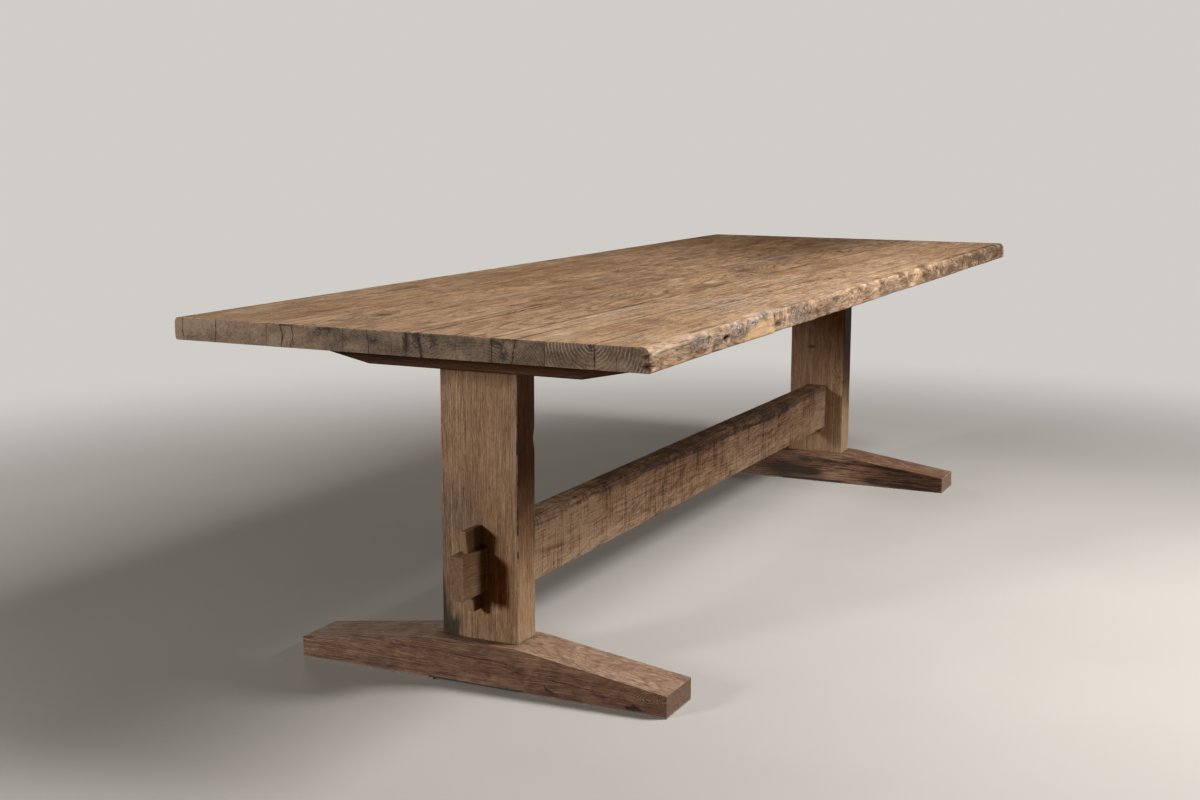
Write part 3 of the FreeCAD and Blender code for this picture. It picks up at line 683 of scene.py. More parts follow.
# Marks on the waney front edge: along, share of the height, half length, half height as a
# share, how hollow, dark and grey, and how far the grain turns round it in millimetres.
EDGE_MARKS = (
    (-1.437, 0.6, 0.01, 0.09, 5, 1, 0, 4), (-1.434, 0.24, 0.013, 0.09, 6, 1, 0, 5),
    (-1.428, 0.45, 0.01, 0.07, 3, 0.5, 0, 5), (-1.4, 0.86, 0.03, 0.05, 1.5, 0.5, 0.1, 4),
    (-1.205, 0.62, 0.03, 0.2, 2, 0.55, 0.75, 16), (-1.165, 0.55, 0.014, 0.14, 2.5, 0.6, 0.5, 8),
    (-1.12, 0.52, 0.016, 0.16, 1.5, 0.4, 0.6, 9), (-1.076, 0.42, 0.016, 0.15, 8, 1.5, 0, 9),
    (-1.03, 0.78, 0.022, 0.1, 2, 0.5, 0.85, 12), (-1.01, 0.55, 0.03, 0.18, 1.2, 0.5, 0.8, 16),
    (-0.93, 0.72, 0.022, 0.13, 2, 0.6, 0.5, 10), (-0.85, 0.86, 0.035, 0.09, 1, 0.1, 0.8, 6),
    (-0.775, 0.38, 0.022, 0.14, 3, 0.9, 0, 4), (-0.8, 0.62, 0.006, 0.2, 2.5, 0.8, 0, 2),
    (-0.64, 0.45, 0.04, 0.35, 1.5, 0.2, 0.75, 18), (-0.612, 0.62, 0.014, 0.12, 2, 0.7, 0.2, 6),
    (-0.445, 0.12, 0.012, 0.09, 4, 1, 0.2, 6), (-0.405, 0.45, 0.03, 0.25, 1, 0.35, 0, 12),
    (-0.33, 0.55, 0.03, 0.2, -0.5, 0, 0.25, 8), (-0.13, 0.55, 0.035, 0.22, 1, 0.45, 0, 20),
    (-0.02, 0.5, 0.028, 0.2, 1.5, 0.55, 0.1, 14), (0.215, 0.88, 0.035, 0.04, 2.5, 0.9, 0, 3),
    (0.09, 0.45, 0.06, 0.15, 0.8, 0.2, 0.1, 10), (0.395, 0.5, 0.022, 0.32, 1.5, 0.6, 0, 16),
    (0.47, 0.68, 0.02, 0.1, 2, 0.8, 0, 8), (0.55, 0.7, 0.024, 0.14, 2, 0.75, 0.4, 14),
    (0.62, 0.45, 0.02, 0.2, 1.5, 0.5, 0.1, 10), (0.69, 0.35, 0.03, 0.1, 1, 0.5, 0, 8),
    (0.79, 0.7, 0.02, 0.14, 1.5, 0.55, 0.1, 12), (0.862, 0.6, 0.022, 0.15, 2, 0.8, 0, 14),
    (0.925, 0.35, 0.018, 0.09, 1.5, 0.8, 0, 9), (0.975, 0.66, 0.018, 0.11, 1.5, 0.7, 0, 9),
    (1.08, 0.5, 0.03, 0.15, 1, 0.4, 0, 10), (1.165, 0.3, 0.018, 0.1, 2, 0.9, 0, 8),
    (1.24, 0.65, 0.03, 0.14, 1.5, 0.6, 0.1, 12), (1.345, 0.62, 0.03, 0.15, 2, 0.75, 0, 14),
    (1.41, 0.35, 0.02, 0.18, 2, 0.7, 0, 8),
)

# Hollows of the waney edge in plan at equal steps, as shares of its deepest.
WANE = (0.3, 0.9, 0.35, 0.05, 0.75, 0.4, 1.0, 0.45, 0.2, 0.8, 0.15, 0.6)
WANE_DEPTH = 4.4 * MM


def crack_lines(wood, lines):
    """Writes the signed distance to the nearest crack, and how far that one is open."""
    x, y, z = wood.rest.T
    below = smooth(z, TOP - 1 * MM, TOP - 9 * MM)
    wiggle = 5 * MM * wood.noise((3, 0, 0), 3, 40)
    wiggle += 1.2 * MM * noise(wood.rest * [60, 0, 0], 41)
    wiggle += 4.5 * MM * wood.noise((0, 4, 55), 3, 42) * below
    gaps, opened = [], []
    for k, (across, lean, first, last, strength) in enumerate(sorted(lines)):
        own = noise(wood.rest * [1.8, 0, 0] + 7.1 * k, 43 + k)
        gaps.append(y - (across + lean * (z - TOP) + wiggle + 4 * MM * own * (x - first)))
        opened.append(strength * smooth(x, first, first + 0.05)
                      * smooth(x, last, last - 0.25))
    nearest = np.abs(gaps).argmin(0)
    every = np.arange(len(x))
    wood.split = np.array(gaps)[nearest, every] * np.where(nearest % 2 == 0, 1, -1)
    wood.open = np.array(opened)[nearest, every]


def front_edge(wood):
    """Shapes the waney edge: worn round above, with knots, ledges and hollows."""
    x, y, z = wood.rest.T
    low = TOP - THICKNESS
    share = (z - low) / THICKNESS
    wane = np.interp(x, np.linspace(LEFT_END, RIGHT_END, len(WANE)), WANE) * WANE_DEPTH
    warp = np.stack([x + 12 * MM * noise(wood.rest * [30, 0, 55], 13), x * 0,
                     z + 7 * MM * noise(wood.rest * [26, 0, 60], 14)], 1)
    broad = 1.3 * MM * (1 + layers(warp, (6, 1, 22), 2, 5))
    ridges = 3.4 * MM * np.abs(layers(warp, (15, 1, 42), 3, 6))
    rough = 0.7 * MM * (1 + layers(warp, (55, 1, 130), 3, 7))
    blunt = 8 + 9 * smooth(x, -1.05, -1.42) + 4 * noise(wood.rest * [6, 0, 0], 8)
    crown = rounding(np.clip((z - (TOP - 13 * MM)) / (13 * MM), 0, 1), blunt * MM)
    foot = rounding(np.clip((low + 4 * MM - z) / (4 * MM), 0, 1), 2 * MM)
    bevel = 3 * MM * smooth(share, 0.5, 1.0)
    depth = wane + broad + ridges + rough + crown + foot + bevel

    # the split-off place: a smooth facet up to a ledge, then sawn ripples
    ledge = smooth(x, -0.809, -0.803) * smooth(x, -0.55, -0.75) * smooth(share, 1.0, 0.7)
    climb = smooth(x, -0.98, -0.84)
    facet = smooth(x, -1.0, -0.95) * smooth(x, -0.802, -0.812)
    facet = facet * smooth(share, 0.50 + 0.42 * climb, 0.36 + 0.4 * climb)
    ripple = smooth(x, -0.80, -0.76) * smooth(x, -0.54, -0.60)
    wander = 3 * noise(wood.rest * [14, 0, 14], 9)
    wave = np.sin((x * 0.9 + z * 0.8) * 2 * math.pi / (7 * MM) + wander)
    depth = depth + 4 * MM * ledge - 0.8 * facet * (rough + ridges) + 1.5 * MM * facet
    depth = depth + 0.8 * MM * ripple * (1 + wave)

    sawn = (np.abs(x) > RIGHT_END - 0.1 * MM) & (y > FRONT + 0.1 * MM)
    front = np.where(sawn, 0, smooth(y, FRONT + 0.020, FRONT + 0.001))
    adrift = x + 10 * MM * wood.noise((38, 0, 75), 3, 15)
    astray = share + 0.20 * wood.noise((42, 0, 70), 3, 16)
    wood.knot[:] = 1
    for along, high, length, tall, hollow, dark, grey, turn in EDGE_MARKS:
        place = (along, high)
        away = np.hypot(x - along, (share - high) * length / tall)
        rings = front * min(1, turn / 10) * smooth(away, 2.2 * length, 0.4 * length)
        wood.knot = np.minimum(wood.knot, away)
        wood.swirl = np.maximum(wood.swirl, rings)
        shape = spot(adrift, astray, place, (length * 0.8, tall * 0.8))
        shape = np.clip(1.5 * shape - 0.2, 0, 1)
        halo = spot(adrift, astray, place, (length * 1.5, tall * 1.5)) * front
        depth = depth + 1.3 * hollow * MM * shape
        wood.dark += dark * (0.65 if grey > 0.4 else 1) * shape * front
        wood.grey += 0.8 * grey * halo
        wood.lift += turn * MM * spot(x, share, place, (length * 1.5, tall * 1.5)) * front
        wood.curl += (0.3 * dark + 0.9 * grey) * halo
        wood.tone -= 0.12 * spot(x, share, place, (length, tall)) * front

    # its colours, and the burr along its far half; the darkening in the deeper hollows of the
    # ridges and towards the far end is painted shade
    shade = layers(warp, (14, 1, 50), 4, 17)
    hollow = np.clip(ridges / (1.2 * MM) - 0.5, 0, 1)
    burr = front * smooth(x, 0.35, 0.55) * wood.patchy(0.75, 0.8, (3, 0, 1), 2, 22)
    facet = facet * front
    wood.tone += 0.25 * facet + 1.1 * burr * layers(warp, (36, 1, 60), 2, 24) + front * (
        -0.28 + 0.75 * shade - 0.4 * hollow + 0.2 * smooth(share, 0.3, 0.05)
        - 0.1 * smooth(x, -0.9, -1.3) - 0.3 * smooth(x, 0.1, 1.0)
        + 0.22 * smooth(share, 0.72, 0.95))
    wood.dark += front * 0.5 * np.clip(shade * -2 - 0.6, 0, 1)
    wood.dark += burr * 0.6 * np.clip(layers(warp, (26, 1, 40), 3, 23) - 0.15, 0, 1)
    wood.curl = np.clip(wood.curl + 0.55 * ripple * front + 0.8 * burr, 0, 1) - facet
    inland = smooth(y, -0.28, -0.34) * smooth(x, 0.5, 0.0) * smooth(z, TOP - 3 * MM, TOP)
    wood.curl += 0.35 * inland * (1 - front)
    weather = 0.1 * ripple + 0.12 + 0.3 * layers(warp, (7, 1, 25), 3, 18)
    wood.grey = np.clip(wood.grey + front * weather, 0, 1)
    wood.grey *= (1 - 0.8 * facet) * (1 - 0.45 * smooth(x, -0.85, -0.6))
    wood.points[:, 1] += np.maximum(depth, 0) * smooth(y, FRONT + 0.060, FRONT)
    wood.lift += 7 * MM * front * layers(warp, (9, 1, 30), 3, 12)

    # the ragged near corner: torn fibres and two holes that break through the sawn end
    corner = smooth(y, FRONT + 0.016, FRONT + 0.002) * smooth(x, LEFT_END + 0.004, LEFT_END)
    torn = wood.patchy(0.2, 1.4, (1, 0, 130), 3, 19)
    for high, tall in ((0.60, 0.095), (0.24, 0.105)):
        torn = np.maximum(torn, 1.7 * np.exp(-(((share - high) / tall) ** 2)))
    wood.points[:, 0] += 7 * MM * torn * corner
    wood.dark += 0.8 * np.clip(torn - 0.7, 0, 1) * corner


def face_relief(wood):
    """Wears the face: hollows round the knots, and a gently uneven plane."""
    x, y, z = wood.rest.T
    upper = smooth(z, TOP - 3 * MM, TOP)
    depth = wood.waves((0.35, (2.5, 9, 0), 3, 20), (0.22, (16, 70, 0), 3, 21))
    for along, across, length, width, dark, grey, turn in FACE_MARKS:
        near = spot(x, y, (along, across), (length, width)) * upper
        wood.dark += dark * near
        wood.grey += grey * near
        wood.lift += turn * MM * spot(x, y, (along, across), (length * 1.4, width * 1.4))
        depth += 0.9 * MM * dark * near
    wood.points[:, 2] -= np.maximum(depth, 0) * upper


def top_board(index, name):
    low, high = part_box("top_board_" + name)
    front, back = name == "front", name == "back"
    pith, tilt, pitch, drawn, light, cracks = BOARDS[name]
    run = (low.x + GROOVE_STOP, high.x - GROOVE_STOP)
    rise = tuple(low.z + level for level in GROOVE_LEVELS)
    grooves = ([] if front else [(low.y, low.y + GROOVE)]) + (
        [] if back else [(high.y - GROOVE, high.y)])
    across = sorted({low.y, high.y, *(edge for groove in grooves for edge in groove)})
    step = 3.6 * MM if front else 5 * MM
    xs = graded([low.x, *run, high.x], step, growth=2.2 if front else 1.8)
    ys = graded(across, 5 * MM if front else 6.5 * MM, (1.0 * MM, 3.0 * MM, 6.5 * MM))
    zs = graded([low.z, *rise, high.z], 2.1 * MM if front else 5 * MM)
    wood = Wood("top_board_" + name, (xs, ys, zs), (low, high, True), *(
        ((run[0], start, rise[0]), (run[1], end, rise[1]), False) for start, end in grooves))
    x, y, z = wood.rest.T
    upper = smooth(z, high.z - 3 * MM, high.z)

    # the joints: arrises just broken, darker where they have opened
    for edge, gap in ((high.y, JOINT_GAPS[index]), (low.y, JOINT_GAPS[index + 1])):
        if not gap:
            continue
        beside = smooth(np.abs(y - edge), 2.4 * MM, 0)
        uneven = np.clip(0.75 + 0.6 * wood.noise((9, 0, 0), 3, 30 + index), 0.1, 1.2)
        gone = gap * beside * uneven
        outer = np.maximum(
            smooth(z, high.z - 2 * MM, high.z), smooth(z, low.z + 2 * MM, low.z))
        ragged = np.clip(0.3 + 0.7 * noise(wood.rest * [0, 0, 110], 33 + index), 0, 1)
        at_end = smooth(np.abs(x), RIGHT_END - 2 * MM, RIGHT_END)
        wood.dark += 1.15 * gone * np.maximum(outer, at_end * ragged)
        wood.points[:, 2] -= 1.3 * MM * gone * smooth(z, high.z - 1 * MM, high.z)
        wood.tone -= 0.4 * gap * smooth(np.abs(y - edge), 8 * MM, 0)

    if back:
        far = smooth(y, high.y - 14 * MM, high.y)
        for face, radius in ((high.z, 10 * MM), (low.z, 7 * MM)):
            near = np.clip(1 - np.abs(z - face) / radius, 0, 1)
            wood.points[:, 1] -= rounding(near, radius) * far
        wood.wear += 0.5 * far * smooth(z, high.z - 10 * MM, high.z)
    if front:
        front_edge(wood)
    face_relief(wood)
    crack_lines(wood, cracks)

    # the sawn ends: rot, stains and a slightly uneven cut
    near_end = smooth(x, low.x + 3 * MM, low.x)
    share = (z - low.z) / (high.z - low.z)
    for place, up, wide, tall, dark in END_MARKS:
        wood.dark += dark * spot(y, share, (place, up), (wide, tall)) * near_end
    uneven = wood.waves((0.8, (0, 22, 30), 3, 50 + index))
    wood.points[:, 0] += uneven * (near_end - smooth(x, high.x - 3 * MM, high.x))
    wood.grey += (0.2 - 0.16 * smooth(y, 0.1, 0.25)) * near_end
    blush = 0.9 * wood.noise((0, 22, 45), 3, 56)
    wood.tone += near_end * (0.5 * smooth(y, 0.1, 0.35) + blush)
    chips = wood.patchy(0.5, 1.3, (0, 45, 0), 3, 55) * smooth(z, high.z - 4 * MM, high.z)
    wood.wear += 0.7 * chips * smooth(x, low.x + 5 * MM, low.x)

    # broad tone along the table: random and per board, with painted light on the face, lighter
    # at the near front and darker towards the far end, most along the back, where less lamp
    # light fell
    wood.tone += 0.28 * wood.noise((1.1, 4, 0), 3, 60)
    wood.tone += upper * (
        light + 0.12 * smooth(x, -0.9, -1.3) * smooth(y, 0.2, 0.0)
        - 0.25 * smooth(x, 0.2, 1.3) * smooth(y, -0.30, -0.1) - 0.12 * smooth(x, 0.0, 1.2))
    wood.soften(14 if front or back else 7, 70 + index)
    if front:
        edge = smooth(y, low.y + 30 * MM, low.y + 10 * MM)
        wood.wear *= 1 - 0.65 * edge * smooth(x, -1.1, -0.9)
    wood.finish(oak(
        "oak_board_" + name, "X", TOP_SHADES, (1.7 * index, 0.31 * index, 0.0), pith, tilt,
        pitch, 0.2, 0.66, 0.22 if index < 4 else 0.36, 0.8, start=LEFT_END, drawn=drawn,
        broad=0.85, fine=1.3, figured=(0.72, 0.85)))


# ---------------------------------------------------------------- the trestles

# Half sizes of the legs' stub tenons, of the mortises through the legs, of the
# stretcher's tenons, and half the width of the wedges' slots in them.
STUB = (13.0 * MM, 60.0 * MM)
THROUGH = (17.8 * MM, 46.3 * MM)
TENON = (17.5 * MM, 46 * MM)
SLOT = 6.3 * MM

FOOT_TOP = 94 * MM
FOOT_MORTISE_FLOOR = 36 * MM
STRETCHER_LEVEL = 246.5 * MM
BEARER_UNDERSIDE = 658 * MM
LEG_HALF_DEPTH, LEG_HALF_WIDTH = 37.5 * MM, 90 * MM
WEDGE_TOP, WEDGE_FOOT = 67 * MM, 34.5 * MM
WEDGE_TAPER = 0.1857

# Marks on the legs' outer faces: kind, strength, across, height, half width, half height.
LEG_MARKS = {
    "left": (
        ("wear", 1.2, 0.084, 0.101, 0.006, 0.005), ("dark", 1.2, 0.088, 0.15, 0.006, 0.1),
        ("grey", 0.2, 0.066, 0.15, 0.03, 0.07), ("dark", 0.9, 0.084, 0.099, 0.007, 0.008),
        ("dark", 0.5, -0.085, 0.1, 0.008, 0.006), ("grey", 0.45, 0.05, 0.36, 0.035, 0.07),
        ("tone", -0.25, 0.05, 0.36, 0.035, 0.07),
    ),
    "right": (
        ("dark", 1.2, 0.02, 0.44, 0.018, 0.005), ("dark", 0.8, -0.03, 0.441, 0.01, 0.005),
        ("dark", 0.9, -0.074, 0.345, 0.014, 0.005), ("dark", 0.9, -0.088, 0.33, 0.006, 0.005),
        *(("lift", 6 * MM, *place, 0.025, 0.04)
          for place in ((0.02, 0.44), (-0.03, 0.441), (-0.074, 0.345), (-0.088, 0.33))),
        ("dark", 0.9, 0.028, 0.12, 0.003, 0.05), ("tone", 0.5, -0.085, 0.25, 0.004, 0.2),
    ),
}


def leg(side):
    """A leg with its stub tenons and the mortise for the stretcher's tenon."""
    low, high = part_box("leg_" + side)
    middle = (low.x + high.x) / 2
    stub = (middle - STUB[0], middle + STUB[0])
    hole = (STRETCHER_LEVEL - THROUGH[1], STRETCHER_LEVEL + THROUGH[1])
    xs = graded([low.x, *stub, high.x], 5 * MM)
    ys = graded([low.y, -STUB[1], -THROUGH[0], THROUGH[0], STUB[1], high.y], 5 * MM)
    zs = graded([low.z, FOOT_TOP, *hole, BEARER_UNDERSIDE, high.z], 5 * MM)
    wood = Wood(
        "leg_" + side, (xs, ys, zs),
        ((low.x, low.y, FOOT_TOP), (high.x, high.y, BEARER_UNDERSIDE), True),
        ((stub[0], -STUB[1], low.z), (stub[1], STUB[1], high.z), True),
        ((low.x, -THROUGH[0], hole[0]), (high.x, THROUGH[0], hole[1]), False),
    )
    x, y, z = wood.rest.T
    wood.soften(16, 80)
    shown = smooth(z, FOOT_TOP - 1 * MM, FOOT_TOP)
    shown = shown * smooth(z, BEARER_UNDERSIDE + 1 * MM, BEARER_UNDERSIDE)
    out = np.maximum(np.abs(y) / high.y, np.abs(x - middle) / LEG_HALF_DEPTH) > 0.99
    depth = wood.waves((0.5, (16, 16, 3), 3, 81), (0.15, (90, 90, 12), 2, 82))
    wood.sink(depth * shown * out)
    outer = x < middle
    for mark, strength, place, up, wide, tall in LEG_MARKS[side]:
        wood.add(mark, strength * spot(y, z, (place, up), (wide, tall)) * outer)
    if side == "left":
        # the stained and chipped foot of the near leg, and a nick in its back corner
        torn = wood.patchy(0.85, 1.3, (1, 95, 22), 3, 85, top=1.3)
        wood.dark += 2.0 * spot(y, z, (0.072, 0.112), (0.024, 0.050)) * outer * torn
        wood.tone -= 0.35 * smooth(y, 0.055, 0.085) * outer
        nick = spot(y, z, (-0.090, 0.512), (0.006, 0.016))
        nick = nick * smooth(x, high.x - 14 * MM, high.x)
        wood.points[:, 1] += 3.5 * MM * nick
        wood.dark += 0.5 * nick
        # its right arris, rubbed pale and chipped
        pale = smooth(y, -0.077, -0.086) * smooth(x, low.x + 8 * MM, low.x)
        pale = pale * wood.patchy(0.6, 1.2, (20, 60, 14), 3, 83)
        wood.grey += 0.4 * pale
        wood.tone += 0.6 * pale
        wood.lift += 4 * MM * spot(y, z, (0.08, 0.50), (0.02, 0.05))
        chips = wood.patchy(0.3, 1.8, (20, 20, 60), 3, 86)
        chips *= smooth(y, -0.0855, -0.088) * smooth(z, 0.14, 0.24) * smooth(z, 0.64, 0.5)
        wood.dark += 1.5 * chips * (x < low.x + 4 * MM)
    # painted shade in the crease where the leg stands on the foot
    painted_contact_shade = wood.patchy(0.6, 1.2, (40, 40, 9), 2, 87)
    wood.dark += 0.6 * painted_contact_shade * smooth(z, FOOT_TOP + 7 * MM, FOOT_TOP + 1 * MM)
    wood.tone += 0.16 * wood.noise((9, 9, 1.4), 3, 84) + 0.08
    # painted light: the near leg lighter high up and the far leg lighter low down, where more
    # lamp light fell on them
    wood.tone += 0.2 * smooth(z, 0.3, 0.55) if side == "left" else 0.25 * smooth(z, 0.3, 0.1)
    # painted shade high on the legs' right-hand faces, under the top and deeper on the far leg,
    # and painted light low down where the lamp reached them
    deep = 0.6 if side == "left" else 1.3
    painted_side_light_and_shade = 0.45 * smooth(z, 0.42, 0.15) - deep * smooth(z, 0.2, 0.4)
    wood.tone += smooth(y, -0.084, -0.089) * painted_side_light_and_shade
    wood.finish(LEG_OAK[side], grain=2)


# The feet: their height under the leg and at their ends, half of the level part, and how
# far the slope takes to begin.
FOOT_HEIGHT, FOOT_ENDS = 90 * MM, 43.5 * MM
FOOT_LEVEL, FOOT_EASE = 100 * MM, 12 * MM

# Marks on the near faces of the feet: across, height, half width, half height, how dark,
# and how far the grain turns round them in millimetres. Heights of the left foot's are
# shares of its height.
FOOT_MARKS = {
    "left": (
        (0.18, 0.8, 0.014, 0.05, 0.6, 4), (0.135, 0.76, 0.01, 0.04, 0.45, 3),
        (0.03, 0.48, 0.03, 0.08, 0.4, 5), (-0.105, 0.5, 0.02, 0.14, 0.55, 8),
        (-0.165, 0.14, 0.014, 0.05, 0.9, 6), (-0.185, 0.06, 0.02, 0.03, 0.7, 2),
        (-0.352, 0.09, 0.024, 0.045, 1.3, 4), (-0.36, 0.22, 0.008, 0.08, 1, 4),
        (-0.392, 0.6, 0.024, 0.28, 0.45, 10), (-0.276, 0.12, 0.03, 0.03, 0.3, 3),
    ),
    "right": (
        (0.09, 0.032, 0.095, 0.028, 1.15, 0), (0, 0.03, 0.034, 0.013, 1.1, 0),
        (0.02, 0.07, 0.05, 0.012, 0.8, 0), (-0.198, 0.022, 0.034, 0.012, 1, 0),
        (-0.275, 0.01, 0.11, 0.007, 0.9, 0), (-0.143, 0.075, 0.025, 0.005, 1, 0),
        (-0.24, 0.066, 0.045, 0.01, 1.1, 0), (-0.3, 0.058, 0.035, 0.005, 1.2, 0),
        (-0.415, 0.043, 0.035, 0.003, 1.1, 0), (-0.09, 0.06, 0.07, 0.002, 0.9, 0),
    ),
}

# Cracks along the near faces of the feet: first and last place across, height at the
# first, rise to the last, and how far each has opened.
HAIRLINES = {
    "left": ((-0.340, -0.380, 0.0125, -0.004, 1.5), (-0.160, -0.186, 0.022, -0.010, 0.9),
             (0.060, -0.080, 0.064, -0.004, 0.3), (-0.080, -0.300, 0.046, -0.014, 0.3)),
    "right": ((-0.020, -0.150, 0.073, -0.008, 0.9), (0.020, -0.200, 0.052, -0.006, 0.7),
              (-0.230, -0.430, 0.047, -0.006, 0.8), (-0.200, -0.400, 0.022, -0.002, 0.6)),
}


def hairlines(wood, shown, lines):
    """Writes the signed distance to the nearest of a face's cracks, as crack_lines does."""
    y, height = wood.rest[:, 1], wood.points[:, 2]
    wiggle = 1.6 * MM * wood.noise((0, 26, 0), 3, 44)
    gaps, opened = [], []
    for first, last, level, rise, strength in lines:
        share = (y - first) / (last - first)
        gaps.append(height - level - rise * share - wiggle)
        opened.append(strength * smooth(share, 0, 0.12) * smooth(share, 1, 0.8))
    gaps, opened = np.stack(gaps), np.stack(opened)
    nearest = (np.abs(gaps) + 1.0 * (opened < 0.02)).argmin(0)
    every = np.arange(len(y))
    gap = gaps[nearest, every]
    wood.split = gap + np.sign(gap) * 50 * MM * (1 - shown)
    wood.open = opened[nearest, every] * shown


def foot(side):
    """A foot with the leg's mortise in its crest and slopes down to its ends."""
    low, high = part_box("foot_" + side)
    middle = (low.x + high.x) / 2
    base, crest = low.z, high.z
    mortise = (middle - STUB[0], middle + STUB[0])
    xs = graded([low.x, *mortise, high.x], 5 * MM)
    ys = graded([low.y, -STUB[1], STUB[1], high.y], 5.5 * MM)
    zs = graded([base, FOOT_MORTISE_FLOOR, crest], 5 * MM)
    wood = Wood(
        "foot_" + side, (xs, ys, zs), (low, high, True),
        ((mortise[0], -STUB[1], FOOT_MORTISE_FLOOR), (mortise[1], STUB[1], crest), False),
    )
    x, y, z = wood.rest.T
    past = np.maximum(np.abs(y) - FOOT_LEVEL, 0)
    fall = np.where(past < FOOT_EASE, past**2 / (2 * FOOT_EASE), past - FOOT_EASE / 2)
    fall = fall * (FOOT_HEIGHT - FOOT_ENDS) / (high.y - FOOT_LEVEL - FOOT_EASE / 2)
    wood.points[:, 2] = base + (z - base) * (1 - fall / FOOT_HEIGHT)
    wood.soften(12, 90 if side == "left" else 95)
    seat = (np.abs(y) < LEG_HALF_WIDTH + 5 * MM) & (z > crest - 1 * MM)
    inside = (np.abs(y) < STUB[1] + 0.5 * MM) & (np.abs(x - middle) < STUB[0] + 0.5 * MM)
    skin = ~(seat | (z < base + 1 * MM) | inside)
    wood.sink(wood.waves((0.6, (18, 3, 18), 3, 91), (0.2, (90, 14, 90), 2, 92)) * skin)
    share = (z - base) / (crest - base)
    if side == "right":
        # bark left along the near edge of the far foot's right-hand slope
        edge = spot(y, x - low.x, (-0.22, 0), (0.07, 0.010)) * smooth(share, 0.6, 1.0)
        wood.points[:, 2] -= 5 * MM * edge
    height = wood.points[:, 2]
    level = share if side == "left" else height
    face = smooth(x, low.x + 3 * MM, low.x)
    for place, up, wide, tall, dark, turn in FOOT_MARKS[side]:
        if turn > 9:
            wood.knot = np.hypot(y - place, (level - up) * wide / tall)
            wood.swirl = 0.5 * face * smooth(wood.knot, 2.0 * wide, 0.5 * wide)
        wood.dark += dark * spot(y, level, (place, up), (wide, tall)) * face
        wood.lift += turn * MM * spot(y, level, (place, up), (wide * 1.5, tall * 1.5)) * face
    wood.wear *= 1.7
    # painted shade: the lowest arris darkened between the felts, where the gap under the foot
    # lies in shade
    gap = smooth(z, base + 5 * MM, base + 1 * MM) * smooth(np.abs(y), 0.112, 0.108)
    wood.dark += 1.5 * gap * (np.abs(x - middle) > 0.04)
    wood.tone += 0.25 * wood.noise((5, 1.4, 8), 3, 93)
    above = smooth(normals_of(wood.points, wood.quads)[:, 2], 0.5, 0.95)
    cut = smooth(y, low.y + 3 * MM, low.y)
    if side == "left":
        back = smooth(y, 0.09, 0.12)
        # painted light: the near foot's upward faces are lighter, most towards its right-hand
        # end, which faced the lamp, and towards its back end; its sawn end is lighter too
        wood.tone += (0.2 + 0.2 * smooth(y, -0.05, -0.15) + 0.28 * back) * above + 0.25 * cut
        wood.grey += (0.12 + 0.22 * back) * above
    else:
        wood.tone += 0.4 * spot(y, height, (-0.075, 0.032), (0.06, 0.022)) * face
        # the far foot's sawn end is much lighter: paler end grain, and partly painted light
        wood.tone += 1.2 * cut - 0.1 * above
        wood.tone -= 0.3 * smooth(y, -0.18, -0.3) * (1 - above) * (1 - cut)
        wood.grey += 0.7 * cut
    hairlines(wood, smooth(x, low.x + 3 * MM, low.x + 1 * MM), HAIRLINES[side])
    wood.finish(FOOT_OAK[side], grain=1)


